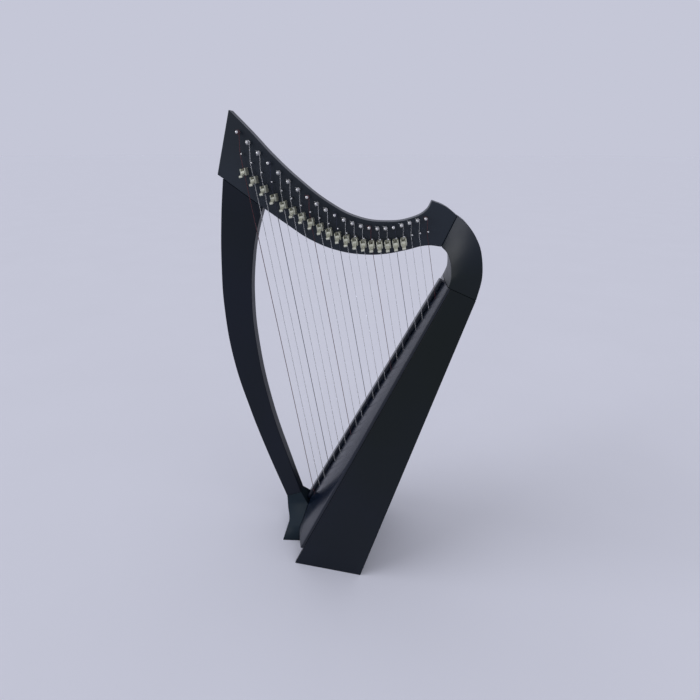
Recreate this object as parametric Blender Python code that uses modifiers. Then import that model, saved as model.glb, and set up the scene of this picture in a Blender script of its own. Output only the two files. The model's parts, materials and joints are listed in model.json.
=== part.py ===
"""A small lever harp of 22 strings, standing on its soundbox and foot.

Metres, +Z up. X runs from the column (-X) to the soundbox (+X), Y across the
harp. The strings, bridge pins and levers are on the -Y side of the neck. The
origin is on the floor, below the middle of the harp.
"""

import math

import bmesh
import bpy
import numpy as np
from mathutils import Matrix, Vector

GAP = 0.0003

# Soundbox, measured in the plane of the soundboard edges. s runs up the board
# from the floor line and eta stands square to it, towards the strings.
BOARD_FOOT_X = 0.0
BOARD_TILT = math.radians(68.3)
BOARD_LENGTH = 0.635
BOARD_WIDTH_BOTTOM = 0.228
BOARD_WIDTH_TOP = 0.100
BOARD_THICKNESS = 0.005
CROWN_BOTTOM = 0.0175
CROWN_TOP = 0.003
BOX_DEPTH_BOTTOM = 0.136
BOX_DEPTH_TOP = 0.0483
SIDE_THICKNESS = 0.008
BACK_THICKNESS = 0.005
BASE_THICKNESS = 0.012
BASE_HEIGHT = 0.040
TENON_DEPTH = 0.018
TENON_ROOT = 0.0045
BRACE_WIDTH = 0.010
BRACE_HEIGHT = 0.014
BRACE_DISTANCES = (0.235, 0.425)
SOUND_HOLES = ((0.150, 0.032), (0.330, 0.026), (0.500, 0.020))

# String rib on the face of the soundboard, and the strip under it that the
# strings are knotted to
RIB_WIDTH = 0.0166
RIB_HEIGHT = 0.007
RIB_END_MARGIN = 0.003
ANCHOR_WIDTH = 0.014
ANCHOR_THICKNESS = 0.004
ANCHOR_OVERHANG = 0.018

# Neck and column boards
NECK_THICKNESS = 0.022
NECK_CHAMFER = 0.0012

# Strings
STRING_COUNT = 22
LEVER_COUNT = 19
FIRST_STRING = 0.108
LAST_STRING_MARGIN = 0.0314
PITCH_TAPER = 0.8295
LEAN_BASS = math.radians(12.2)
LEAN_TREBLE = math.radians(13.2)
STRING_RADIUS_BASS = 0.00060
STRING_RADIUS_TREBLE = 0.00035
STRING_STANDOFF = 0.0113
STRING_HOLE_RADIUS = 0.0012

# Tuning pins
PIN_RADIUS = 0.0025
PIN_SOCKET_RADIUS = PIN_RADIUS + GAP
COIL_RADIUS = 0.0034
COIL_LENGTH = 0.0060
PIN_NEAR_LENGTH = 0.0155
PIN_FAR_LENGTH = 0.0200
PIN_SQUARE = 0.0042
PIN_SQUARE_LENGTH = 0.0120
PIN_TIP_CHAMFER = 0.00075

# Bridge pins
BRIDGE_PIN_RADIUS = 0.0014
BRIDGE_PIN_LENGTH = 0.0132

# Levers: a channel bracket astride the string, with the cam on an axle across it
BRACKET_WIDTH = 0.0094
BRACKET_LENGTH = 0.0125
BRACKET_DEPTH = 0.0178
BRACKET_WALL = 0.0013
BRACKET_FLOOR = 0.0020
FRET_THICKNESS = 0.0016
FRET_OFFSET = -0.0048
AXLE_STANDOFF = 0.0158
AXLE_RADIUS = 0.0011
AXLE_OFFSET = -0.0010
CAM_RADIUS = 0.0034
CAM_FLAT = 0.0016
HANDLE_REACH = 0.0200
HANDLE_THICKNESS = 0.0018
HANDLE_KNOB_RADIUS = 0.0019
KNOB_ARC = math.radians(130)
HANDLE_DROOP = math.radians(19.0)

# Depth that fittings are let into the neck
SEAT = 0.0006

# Sides of round pieces, the bend above which an edge stays sharp, and how far
# cutters reach past what they cut
SIDES_SMALL = 8
SIDES_PIN = 10
SIDES_SOUND_HOLE = 28
SHARP_BEND = math.radians(50)
CUT_LENGTH = 4
CUT_OVERLAP = 1.5

# Outlines in the XZ plane, measured from the floor line of the soundboard, as
# drawn with its top at this point. They grow with the soundboard's length.
DRAWN_TOP = (0.2348, 0.5900)
DRAWING_SCALE = BOARD_LENGTH / math.hypot(*DRAWN_TOP)

# Each point is x, z and whether the outline turns a corner there.
NECK_OUTLINE = (
    (-0.144, 0.860, True),
    (-0.108, 0.827, False),
    (-0.070, 0.790, False),
    (-0.024, 0.751, False),
    (0.032, 0.712, False),
    (0.078, 0.691, False),
    (0.126, 0.685, False),
    (0.170, 0.693, False),
    (0.190, 0.706, False),
    (0.197, 0.721, True),
    (0.218, 0.713, False),
    (0.238, 0.699, True),
    (0.220, 0.648, True),
    (0.198, 0.649, False),
    (0.163, 0.639, False),
    (0.131, 0.631, False),
    (0.097, 0.628, False),
    (0.048, 0.633, False),
    (-0.003, 0.651, False),
    (-0.037, 0.671, False),
    (-0.086, 0.702, True),
    (-0.159, 0.750, True),
    (-0.169, 0.756, True),
)
COLUMN_OUTLINE = (
    (-0.159, 0.750, True),
    (-0.165, 0.688, False),
    (-0.169, 0.595, False),
    (-0.167, 0.510, False),
    (-0.151, 0.397, False),
    (-0.118, 0.285, False),
    (-0.083, 0.189, False),
    (-0.037, 0.076, True),
    (-0.005, 0.093, True),
    (-0.028, 0.158, False),
    (-0.075, 0.304, False),
    (-0.102, 0.437, False),
    (-0.1095, 0.525, False),
    (-0.107, 0.600, False),
    (-0.099, 0.655, False),
    (-0.086, 0.702, True),
)
BRIDGE_ROW = (
    (-0.120, 0.790),
    (-0.048, 0.730),
    (0.019, 0.687),
    (0.079, 0.660),
    (0.133, 0.658),
    (0.192, 0.673),
)
TUNING_ROW = (
    (-0.126, 0.825),
    (-0.051, 0.758),
    (0.015, 0.710),
    (0.077, 0.681),
    (0.130, 0.676),
    (0.188, 0.694),
)

# How far down its string each lever is from the bridge, by x at the bridge
LEVER_DROPS = (
    (-0.121, 0.0290),
    (-0.067, 0.0262),
    (-0.016, 0.0188),
    (0.030, 0.0150),
    (0.072, 0.0096),
    (0.110, 0.0086),
    (0.147, 0.0083),
)

# Shoulder: inner and outer edge of its flare from the neck to the soundbox
SHOULDER_INNER = ((0.220, 0.648), (0.2295, 0.640), (0.2355, 0.626), (0.238, 0.608), (0.237, 0.598))
SHOULDER_OUTER = ((0.238, 0.699), (0.254, 0.687), (0.268, 0.669), (0.278, 0.646), (0.2835, 0.610))
SHOULDER_ROWS = 12
SHOULDER_JOINT_FADE = 4

# Foot: front edge, the half widths that it flares to, and the top of its inner
# face, which meets the soundboard at a place up the board. Its heel is the row
# that is level with the soundboard's lower edge.
FOOT_FRONT = (
    (-0.037, 0.076),
    (-0.0335, 0.050),
    (-0.028, 0.033),
    (-0.027, 0.021),
    (-0.030, 0.010),
    (-0.033, 0.0),
)
FOOT_FRONT_HALF_WIDTH = 0.063
FOOT_FRONT_FLARE = 2.2
FOOT_REAR_HALF_WIDTH = 0.055
FOOT_REAR_FLARE = 1.6
FOOT_HEEL_SHARE = 0.6
FOOT_REAR_TOP = (-0.005, 0.093)
FOOT_TOP_PLACE = 0.0735
FOOT_ROWS = 10
ACROSS = 12


def rgb(red, green, blue):
    return (red, green, blue, 1.0)


def material(name, colour, roughness, metallic=0.0):
    made = bpy.data.materials.new(name)
    made.use_nodes = True
    shader = made.node_tree.nodes["Principled BSDF"]
    shader.inputs["Base Color"].default_value = colour
    shader.inputs["Roughness"].default_value = roughness
    shader.inputs["Metallic"].default_value = metallic
    made.diffuse_color = colour
    return made


def collection(name):
    made = bpy.data.collections.new(name)
    bpy.context.scene.collection.children.link(made)
    return made


def shade(mesh):
    """Smooth shading for the round faces. A face that is sharp all round stays
    flat, so that what is cut into it leaves clean edges."""
    mesh.shade_smooth()
    mesh.set_sharp_from_angle(angle=SHARP_BEND)
    sharp = {edge.index for edge in mesh.edges if edge.use_edge_sharp}
    for face in mesh.polygons:
        edges = {mesh.loops[i].edge_index for i in face.loop_indices}
        face.use_smooth = not edges <= sharp


def add_object(name, mesh, finish=None):
    shade(mesh)
    made = bpy.data.objects.new(name, mesh)
    PARTS.objects.link(made)
    made.parent = ROOT
    if finish:
        mesh.materials.clear()
        mesh.materials.append(finish)
    return made


def make_cutter(made):
    PARTS.objects.unlink(made)
    CUTTERS.objects.link(made)
    made.hide_render = True
    made.display_type = "WIRE"
    return made


def boolean(target, tool, operation):
    modifier = target.modifiers.new(operation.title(), "BOOLEAN")
    modifier.operation = operation
    modifier.solver = "EXACT"
    modifier.object = tool


def evaluated_mesh(made):
    """The object's mesh with its modifiers applied, its caps welded."""
    bpy.context.view_layer.update()
    graph = bpy.context.evaluated_depsgraph_get()
    mesh = bpy.data.meshes.new_from_object(made.evaluated_get(graph))
    cleaned = bmesh.new()
    cleaned.from_mesh(mesh)
    bmesh.ops.remove_doubles(cleaned, verts=cleaned.verts, dist=0.00001)
    bmesh.ops.recalc_face_normals(cleaned, faces=cleaned.faces)
    cleaned.to_mesh(mesh)
    cleaned.free()
    return mesh


def baked(made, name, finish):
    """A mesh object that takes the place of a curve or of a modified object."""
    mesh = evaluated_mesh(made)
    mesh.transform(made.matrix_world)
    bpy.data.objects.remove(made)
    return add_object(name, mesh, finish)


def mesh_of(name, shape):
    bmesh.ops.recalc_face_normals(shape, faces=shape.faces)
    if shape.calc_volume(signed=True) < 0:
        bmesh.ops.reverse_faces(shape, faces=shape.faces)
    mesh = bpy.data.meshes.new(name)
    shape.to_mesh(mesh)
    shape.free()
    return mesh


def smooth(points, steps):
    """Points on a Catmull-Rom curve through the given points."""
    knots = np.array(points, float)
    tangents = np.gradient(knots, axis=0)
    found = []
    for value in np.linspace(0, len(knots) - 1, steps):
        i = min(int(value), len(knots) - 2)
        t = value - i
        found.append(
            (2 * t**3 - 3 * t**2 + 1) * knots[i]
            + (t**3 - 2 * t**2 + t) * tangents[i]
            + (3 * t**2 - 2 * t**3) * knots[i + 1]
            + (t**3 - t**2) * tangents[i + 1]
        )
    return np.array(found)


def drawn(points):
    """Points of the drawing, brought to the soundboard's length."""
    return [(x * DRAWING_SCALE, z * DRAWING_SCALE, *corner) for x, z, *corner in points]


def row_height(row, x):
    """Height at x of the smooth row through the given points."""
    curve = smooth(row, 121)
    return float(np.interp(x, curve[:, 0], curve[:, 1]))


def half_width(s):
    share = s / BOARD_LENGTH
    return (BOARD_WIDTH_BOTTOM + (BOARD_WIDTH_TOP - BOARD_WIDTH_BOTTOM) * share) / 2


def crown(s, y):
    rise = CROWN_BOTTOM + (CROWN_TOP - CROWN_BOTTOM) * s / BOARD_LENGTH
    return rise * (1 - (y / half_width(s)) ** 2)


def box_depth(s):
    return BOX_DEPTH_BOTTOM + (BOX_DEPTH_TOP - BOX_DEPTH_BOTTOM) * s / BOARD_LENGTH


def at(s, y, eta):
    """World point from the place up the board, across it and square to it."""
    x = BOARD_FOOT_X + s * math.cos(BOARD_TILT) - eta * math.sin(BOARD_TILT)
    z = s * math.sin(BOARD_TILT) + eta * math.cos(BOARD_TILT)
    return (x, y, z)


def along_board(point):
    """The place up the board and square to it of a point x, z."""
    x = point[0] - BOARD_FOOT_X
    s = x * math.cos(BOARD_TILT) + point[1] * math.sin(BOARD_TILT)
    return s, point[1] * math.cos(BOARD_TILT) - x * math.sin(BOARD_TILT)


def place_at_height(z, y, lift):
    """Place up the board where the surface lifted off its crown has height z."""
    s = z / math.sin(BOARD_TILT)
    for _ in range(8):
        s = (z - (crown(s, y) + lift) * math.cos(BOARD_TILT)) / math.sin(BOARD_TILT)
    return s


def moulded(name, rows, columns, place, finish):
    """A block divided into rows and columns, with each of its points u, v, w,
    all from 0 to 1, moved to place(u, v, w)."""
    shape = bmesh.new()
    bmesh.ops.create_grid(shape, x_segments=rows, y_segments=columns, size=0.5)
    grown = bmesh.ops.extrude_face_region(shape, geom=shape.faces[:])
    raised = [item for item in grown["geom"] if isinstance(item, bmesh.types.BMVert)]
    bmesh.ops.translate(shape, verts=raised, vec=(0.0, 0.0, 1.0))
    for vert in shape.verts:
        u, v, w = vert.co
        vert.co = place(u + 0.5, v + 0.5, w)
    return add_object(name, mesh_of(name, shape), finish)


def blend(first, last, share):
    return first + (last - first) * share


def crowned_strip(name, rows, columns, ends, edges, lifts, finish):
    """A layer that follows the crown: ends(y, lift) gives its two ends up the
    board, edges(s) its two edges in y and lifts its lower and upper face."""

    def place(u, v, w):
        lift = blend(*lifts, w)
        y = 0.0
        for _ in range(6):
            s = blend(*ends(y, lift), u)
            y = blend(*edges(s), v)
        return at(s, y, crown(s, y) + lift)

    return moulded(name, rows, columns, place, finish)


def cylinder(shape, radius, start, end, sides):
    """Adds a closed cylinder between two points."""
    start = Vector(start)
    end = Vector(end)
    axis = end - start
    turn = axis.to_track_quat("Z", "Y").to_matrix().to_4x4()
    matrix = Matrix.Translation((start + end) / 2) @ turn
    bmesh.ops.create_cone(
        shape,
        cap_ends=True,
        segments=sides,
        radius1=radius,
        radius2=radius,
        depth=axis.length,
        matrix=matrix,
    )


def block(shape, low, high, matrix):
    """Adds a box given by two corners in the frame of the matrix."""
    low = Vector(low)
    high = Vector(high)
    size = Matrix.Diagonal((*(high - low), 1.0))
    bmesh.ops.create_cube(
        shape, size=1.0, matrix=matrix @ Matrix.Translation((low + high) / 2) @ size
    )


def flat_board(name, outline, thickness, finish):
    """A board cut to an outline in the XZ plane, standing across Y."""
    curve = bpy.data.curves.new(name, "CURVE")
    curve.dimensions = "2D"
    curve.fill_mode = "BOTH"
    curve.extrude = thickness / 2
    curve.resolution_u = 4
    spline = curve.splines.new("BEZIER")
    spline.bezier_points.add(len(outline) - 1)
    spline.use_cyclic_u = True
    for point, (x, z, corner) in zip(spline.bezier_points, outline):
        point.co = (x, z, 0.0)
        kind = "VECTOR" if corner else "AUTO"
        point.handle_left_type = kind
        point.handle_right_type = kind
    made = bpy.data.objects.new(name + "_outline", curve)
    PARTS.objects.link(made)
    made.rotation_euler = (math.pi / 2, 0.0, 0.0)
    bpy.context.view_layer.update()
    board = baked(made, name, finish)
    whole = bmesh.new()
    whole.from_mesh(board.data)
    for side in (-1, 1):
        flat = [face for face in whole.faces if face.normal.y * side > 0.99]
        bmesh.ops.dissolve_faces(whole, faces=flat)
    whole.to_mesh(board.data)
    whole.free()
    chamfer = board.modifiers.new("Chamfer", "BEVEL")
    chamfer.width = NECK_CHAMFER
    chamfer.segments = 1
    chamfer.limit_method = "ANGLE"
    chamfer.angle_limit = SHARP_BEND
    return board


def string_lines():
    """For each string: its foot on the board, its direction upwards and its
    radius."""
    found = []
    last = STRING_COUNT - 1
    y = -(NECK_THICKNESS / 2 + STRING_STANDOFF)
    span = BOARD_LENGTH - LAST_STRING_MARGIN - FIRST_STRING
    pitch = 2 * span / (last * (1 + PITCH_TAPER))
    for i in range(STRING_COUNT):
        narrowing = (1 - PITCH_TAPER) * i * (i - 1) / (2 * (last - 1))
        s = FIRST_STRING + pitch * (i - narrowing)
        lean = LEAN_BASS + (LEAN_TREBLE - LEAN_BASS) * i / last
        radius = STRING_RADIUS_BASS
        radius += (STRING_RADIUS_TREBLE - STRING_RADIUS_BASS) * i / last
        foot = Vector(at(s, y, crown(s, y)))
        up = Vector((-math.sin(lean), 0.0, math.cos(lean)))
        found.append((foot, up, radius))
    return found


def string_stations():
    """Bridge pin, tuning pin and lever places of each string."""
    found = []
    bridge_row = drawn(BRIDGE_ROW)
    tuning_row = drawn(TUNING_ROW)
    for foot, up, radius in string_lines():
        reach = BOARD_LENGTH
        for _ in range(30):
            point = foot + up * reach
            reach += (row_height(bridge_row, point.x) - point.z) / up.z
        top = foot + up * reach
        side = Vector((up.z, 0.0, -up.x))
        bridge = top + side * (BRIDGE_PIN_RADIUS + radius + GAP)
        tuning_x = top.x - COIL_RADIUS - radius - GAP
        tuning = Vector((tuning_x, 0.0, row_height(tuning_row, tuning_x)))
        lever = top - up * row_height(LEVER_DROPS, top.x / DRAWING_SCALE)
        found.append((top, bridge, tuning, lever))
    return found


def lever_matrix(lever, up):
    """Frame on the neck's face below a string: X across the string, Y out from
    the neck, Z up along the string."""
    out = Vector((0.0, -1.0, 0.0))
    across = out.cross(up)
    matrix = Matrix((across, out, up)).transposed().to_4x4()
    matrix.translation = (lever.x, -NECK_THICKNESS / 2, lever.z)
    return matrix


def soundboard():
    board = crowned_strip(
        "soundboard",
        6,
        ACROSS,
        lambda y, lift: (place_at_height(BASE_HEIGHT, y, lift), BOARD_LENGTH),
        lambda s: (-half_width(s), half_width(s)),
        (-BOARD_THICKNESS, 0.0),
        LACQUER,
    )
    holes = bmesh.new()
    for foot, up, _ in LINES:
        reach = up * BOARD_THICKNESS * CUT_LENGTH
        cylinder(holes, STRING_HOLE_RADIUS, foot - reach, foot + reach, SIDES_SMALL)
    holes = make_cutter(add_object("string_holes", mesh_of("string_holes", holes)))
    boolean(board, holes, "DIFFERENCE")
    return board


def string_rib():
    """The rib's lower end is cut to the slope of the foot's inner face."""
    heel = along_board(*drawn([FOOT_REAR_TOP]))
    top = FOOT_TOP_PLACE * DRAWING_SCALE
    seat = crown(top, 0.0)

    def ends(_, lift):
        start = blend(top, heel[0], lift / (heel[1] - seat))
        return start + 2 * GAP, BOARD_LENGTH - RIB_END_MARGIN

    return crowned_strip(
        "string_rib",
        6,
        2,
        ends,
        lambda s: (-RIB_WIDTH / 2, RIB_WIDTH / 2),
        (GAP, RIB_HEIGHT),
        LACQUER,
    )


def strings():
    """All strings with the strip inside the soundbox that they are knotted to."""
    middle = -(NECK_THICKNESS / 2 + STRING_STANDOFF)
    ends = (FIRST_STRING - ANCHOR_OVERHANG, BOARD_LENGTH - TENON_DEPTH - GAP)
    edges = (middle - ANCHOR_WIDTH / 2, middle + ANCHOR_WIDTH / 2)
    upper = -BOARD_THICKNESS - GAP
    strip = crowned_strip(
        "strings",
        6,
        2,
        lambda y, lift: ends,
        lambda s: edges,
        (upper - ANCHOR_THICKNESS, upper),
        STRING_FINISH,
    )
    curve = bpy.data.curves.new("string_runs", "CURVE")
    curve.dimensions = "3D"
    curve.bevel_depth = 1.0
    curve.bevel_resolution = 1
    curve.use_fill_caps = True
    square = Vector((-math.sin(BOARD_TILT), 0.0, math.cos(BOARD_TILT)))
    for (foot, up, radius), (top, _, tuning, _) in zip(LINES, STATIONS):
        depth = (BOARD_THICKNESS + ANCHOR_THICKNESS / 2) / up.dot(square)
        end = Vector((top.x, top.y, tuning.z - GAP))
        spline = curve.splines.new("POLY")
        spline.points.add(2)
        for point, place in zip(spline.points, (foot - up * depth, top, end)):
            point.co = (*place, 1.0)
            point.radius = radius
    runs = bpy.data.objects.new("string_runs", curve)
    PARTS.objects.link(runs)
    runs = make_cutter(baked(runs, "string_runs", STRING_FINISH))
    boolean(strip, runs, "UNION")
    return strip


def side_panel(name, side):
    def place(u, v, w):
        s = BOARD_LENGTH
        front = -BOARD_THICKNESS - GAP
        for _ in range(12):
            eta = blend(-box_depth(s), front, v)
            s = blend(-eta / math.tan(BOARD_TILT), BOARD_LENGTH, u)
        return at(s, side * (half_width(s) - SIDE_THICKNESS * w), eta)

    return moulded(name, 1, 1, place, LACQUER)


def inner_half(s):
    return half_width(s) - SIDE_THICKNESS - GAP


def back_panel():
    def place(u, v, w):
        s = BOARD_LENGTH
        for _ in range(12):
            eta = -box_depth(s) + BACK_THICKNESS * w
            lowest = (BASE_HEIGHT - eta * math.cos(BOARD_TILT)) / math.sin(BOARD_TILT)
            s = blend(lowest, BOARD_LENGTH, u)
        return at(s, blend(-inner_half(s), inner_half(s), v), eta)

    back = moulded("soundbox_back", 1, 1, place, LACQUER)
    holes = bmesh.new()
    for s, radius in SOUND_HOLES:
        middle = Vector(at(s, 0.0, -box_depth(s)))
        along = Vector(at(s + radius, 0.0, -box_depth(s + radius))) - middle
        out = Vector((0.0, 1.0, 0.0)).cross(along).normalized() * BACK_THICKNESS * CUT_LENGTH
        cylinder(holes, radius, middle - out, middle + out, SIDES_SOUND_HOLE)
    holes = make_cutter(add_object("sound_holes", mesh_of("sound_holes", holes)))
    boolean(back, holes, "DIFFERENCE")
    return back


def base_board():
    """Closes the soundbox below, level with the lower edges of the soundboard
    and the back. The sides reach down past it to the floor."""
    lift = -BOARD_THICKNESS - GAP

    def place(u, v, w):
        z = BASE_HEIGHT + BASE_THICKNESS * w
        y = 0.0
        for _ in range(8):
            front = place_at_height(z, y, lift)
            y = blend(-inner_half(front), inner_half(front), v)
        if u < 0.5:
            return at(front, y, crown(front, y) + lift)
        s = 0.0
        for _ in range(12):
            eta = -box_depth(s) + BACK_THICKNESS + GAP
            s = (z - eta * math.cos(BOARD_TILT)) / math.sin(BOARD_TILT)
        return at(s, blend(-inner_half(s), inner_half(s), v), eta)

    return moulded("base_board", 1, ACROSS, place, LACQUER)


def brace(name, middle):
    def place(u, v, w):
        s = middle + (u - 0.5) * BRACE_WIDTH
        eta = -box_depth(s) + BACK_THICKNESS + GAP + BRACE_HEIGHT * w
        return at(s, blend(-inner_half(s), inner_half(s), v), eta)

    return moulded(name, 1, 1, place, BARE_WOOD)


def joint_clearance(first, last):
    """The step that a joint from one point to another leaves below it."""
    line = Vector((last[0] - first[0], last[1] - first[1]))
    return Vector((line.y, -line.x)).normalized() * GAP


def shoulder_block():
    """Flare from the neck to the top of the soundbox, with its tenon in the box."""
    seat = BOARD_LENGTH + GAP
    inner = drawn(SHOULDER_INNER)
    outer = drawn(SHOULDER_OUTER)
    step = joint_clearance(inner[0], outer[0])
    edges = []
    for edge, eta in ((outer, -box_depth(seat)), (inner, 0.0)):
        x, _, z = at(seat, 0.0, eta)
        edges.append(smooth((*edge, (x, z)), SHOULDER_ROWS + 1))

    def place(u, v, w):
        edge = edges[round(w)]
        x, z = edge[round(u * SHOULDER_ROWS)]
        half = blend(NECK_THICKNESS / 2, half_width(seat), math.sin(u * math.pi / 2))
        across = 2 * v - 1
        rise = crown(seat, 0.0) * u * w * (1 - across**2)
        fade = (1 - u) ** SHOULDER_JOINT_FADE
        x += step.x * fade - rise * math.sin(BOARD_TILT)
        z += step.y * fade + rise * math.cos(BOARD_TILT)
        return (x, across * half, z)

    def tenon_place(u, v, w):
        s = BOARD_LENGTH + blend(-TENON_DEPTH, TENON_ROOT, u)
        eta = blend(-box_depth(s) + BACK_THICKNESS + GAP, -BOARD_THICKNESS - GAP, w)
        return at(s, blend(-inner_half(s), inner_half(s), v), eta)

    shoulder = moulded("shoulder_block", SHOULDER_ROWS, ACROSS, place, LACQUER)
    tenon = make_cutter(moulded("shoulder_tenon", 1, 1, tenon_place, LACQUER))
    boolean(shoulder, tenon, "UNION")
    return shoulder


def foot_block():
    """Bell-shaped foot between the column, the floor and the soundboard."""
    profile = drawn(FOOT_FRONT)
    front = smooth(profile, FOOT_ROWS + 1)
    rear_top = drawn([FOOT_REAR_TOP])[0]
    step = joint_clearance(profile[0], rear_top)
    heel = round(FOOT_HEEL_SHARE * FOOT_ROWS)

    def place(u, v, w):
        across = 2 * v - 1
        row = round(u * FOOT_ROWS)
        if w < 0.5:
            x, z = front[row]
            flare = (1 - z / profile[0][1]) ** FOOT_FRONT_FLARE
            half = blend(NECK_THICKNESS / 2, FOOT_FRONT_HALF_WIDTH, flare)
            return (x + step.x * (1 - u), across * half, z + step.y * (1 - u))
        flare = 1 - (1 - min(row / heel, 1)) ** FOOT_REAR_FLARE
        y = across * blend(NECK_THICKNESS / 2, FOOT_REAR_HALF_WIDTH, flare)
        if row == 0:
            return (rear_top[0] + step.x, y, rear_top[1] + step.y)
        lowest = place_at_height(BASE_HEIGHT, y, GAP)
        s = blend(FOOT_TOP_PLACE * DRAWING_SCALE, lowest, min((row - 1) / (heel - 1), 1))
        x, _, z = at(s, y, crown(s, y) + GAP)
        return (x, y, z * min((FOOT_ROWS - row) / (FOOT_ROWS - heel), 1))

    return moulded("foot_block", FOOT_ROWS, ACROSS, place, LACQUER)


def bracket_tools():
    """The neck's fittings, which are channel brackets with their frets and the
    bridge pins, and the cutter of its holes."""
    channels = bmesh.new()
    hollows = bmesh.new()
    frets = bmesh.new()
    posts = bmesh.new()
    holes = bmesh.new()
    half = BRACKET_WIDTH / 2
    long = BRACKET_LENGTH / 2
    inner = half - BRACKET_WALL
    for i, ((_, up, _), (_, bridge, tuning, lever)) in enumerate(zip(LINES, STATIONS)):
        face = -NECK_THICKNESS / 2
        cylinder(
            posts,
            BRIDGE_PIN_RADIUS,
            (bridge.x, face + SEAT, bridge.z),
            (bridge.x, face - BRIDGE_PIN_LENGTH, bridge.z),
            SIDES_SMALL,
        )
        cylinder(
            holes,
            PIN_SOCKET_RADIUS,
            (tuning.x, -NECK_THICKNESS, tuning.z),
            (tuning.x, NECK_THICKNESS, tuning.z),
            SIDES_PIN,
        )
        if i >= LEVER_COUNT:
            continue
        frame = lever_matrix(lever, up)
        block(channels, (-half, -SEAT, -long), (half, BRACKET_DEPTH, long), frame)
        past = long * CUT_OVERLAP
        block(hollows, (-inner, BRACKET_FLOOR, -past), (inner, BRACKET_DEPTH * CUT_OVERLAP, past), frame)
        fret_top = STRING_STANDOFF - STRING_RADIUS_BASS - GAP
        block(
            frets,
            (-half + BRACKET_WALL / 2, BRACKET_FLOOR / 2, FRET_OFFSET - FRET_THICKNESS / 2),
            (half - BRACKET_WALL / 2, fret_top, FRET_OFFSET + FRET_THICKNESS / 2),
            frame,
        )
        past = half * CUT_OVERLAP
        ends = [frame @ Vector((x, AXLE_STANDOFF, AXLE_OFFSET)) for x in (-past, past)]
        cylinder(holes, AXLE_RADIUS + GAP, ends[0], ends[1], SIDES_SMALL)
    tools = []
    for name, shape in (
        ("lever_channels", channels),
        ("channel_hollows", hollows),
        ("lever_frets", frets),
        ("bridge_pins", posts),
        ("pin_and_axle_holes", holes),
    ):
        tools.append(make_cutter(add_object(name, mesh_of(name, shape), NICKEL)))
    boolean(tools[0], tools[1], "DIFFERENCE")
    boolean(tools[0], tools[2], "UNION")
    boolean(tools[0], tools[3], "UNION")
    return tools[0], tools[4]


def neck():
    """The holes are cut in the board and in its fittings first, while their
    faces are whole, and then the two are joined."""
    board = flat_board("neck", drawn(NECK_OUTLINE), NECK_THICKNESS, LACQUER)
    fittings, holes = bracket_tools()
    boolean(board, holes, "DIFFERENCE")
    boolean(fittings, holes, "DIFFERENCE")
    boolean(board, fittings, "UNION")
    return board


def column():
    """Drawn back by the clearance at its joint with the neck, the outline's
    first and last point."""
    outline = drawn(COLUMN_OUTLINE)
    step = joint_clearance(outline[0], outline[-1])
    for i in (0, -1):
        x, z, corner = outline[i]
        outline[i] = (x + step.x, z + step.y, corner)
    return flat_board("column", outline, NECK_THICKNESS, LACQUER)


def arc(middle, radius, start, end, steps):
    angles = np.linspace(start, end, steps)
    return [(middle + radius * math.cos(a), radius * math.sin(a)) for a in angles]


def lever_handle_mesh():
    """Cam, handle and axle in one. The axle lies on X and the handle points out
    along Y, drooping. The cam's flat faces the string while the lever is open."""
    inside = BRACKET_WIDTH - 2 * BRACKET_WALL - 2 * GAP
    flat = math.acos(CAM_FLAT / CAM_RADIUS)
    stem = math.asin(HANDLE_THICKNESS / 2 / CAM_RADIUS)
    outline = arc(0.0, CAM_RADIUS, stem, math.pi - flat, 6)
    outline += arc(0.0, CAM_RADIUS, math.pi + flat, 2 * math.pi - stem, 6)
    knob = HANDLE_REACH - HANDLE_KNOB_RADIUS
    outline += arc(knob, HANDLE_KNOB_RADIUS, -KNOB_ARC, KNOB_ARC, 7)
    curve = bpy.data.curves.new("lever_outline", "CURVE")
    curve.dimensions = "2D"
    curve.fill_mode = "BOTH"
    curve.extrude = inside / 2
    spline = curve.splines.new("POLY")
    spline.points.add(len(outline) - 1)
    spline.use_cyclic_u = True
    for point, (y, z) in zip(spline.points, outline):
        point.co = (y, z, 0.0, 1.0)
    body = bpy.data.objects.new("lever_outline", curve)
    PARTS.objects.link(body)
    stand = Matrix(((0, 0, 1), (1, 0, 0), (0, 1, 0))).to_4x4()
    body.matrix_world = Matrix.Rotation(-HANDLE_DROOP, 4, "X") @ stand
    bpy.context.view_layer.update()
    body = make_cutter(baked(body, "lever_body", NICKEL))
    axle = bmesh.new()
    reach = BRACKET_WIDTH / 2 - GAP
    cylinder(axle, AXLE_RADIUS, (-reach, 0.0, 0.0), (reach, 0.0, 0.0), SIDES_SMALL)
    axle = make_cutter(add_object("lever_axle", mesh_of("lever_axle", axle), NICKEL))
    boolean(body, axle, "UNION")
    mesh = evaluated_mesh(body)
    bpy.data.objects.remove(body)
    bpy.data.objects.remove(axle)
    mesh.name = "lever_handle"
    return mesh


def lever_handles():
    mesh = lever_handle_mesh()
    for i in range(LEVER_COUNT):
        _, up, _ = LINES[i]
        lever = STATIONS[i][3]
        frame = lever_matrix(lever, up)
        made = add_object(f"lever_handle_{i + 1:02d}", mesh)
        made.matrix_world = frame @ Matrix.Translation((0.0, AXLE_STANDOFF, AXLE_OFFSET))


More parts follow.
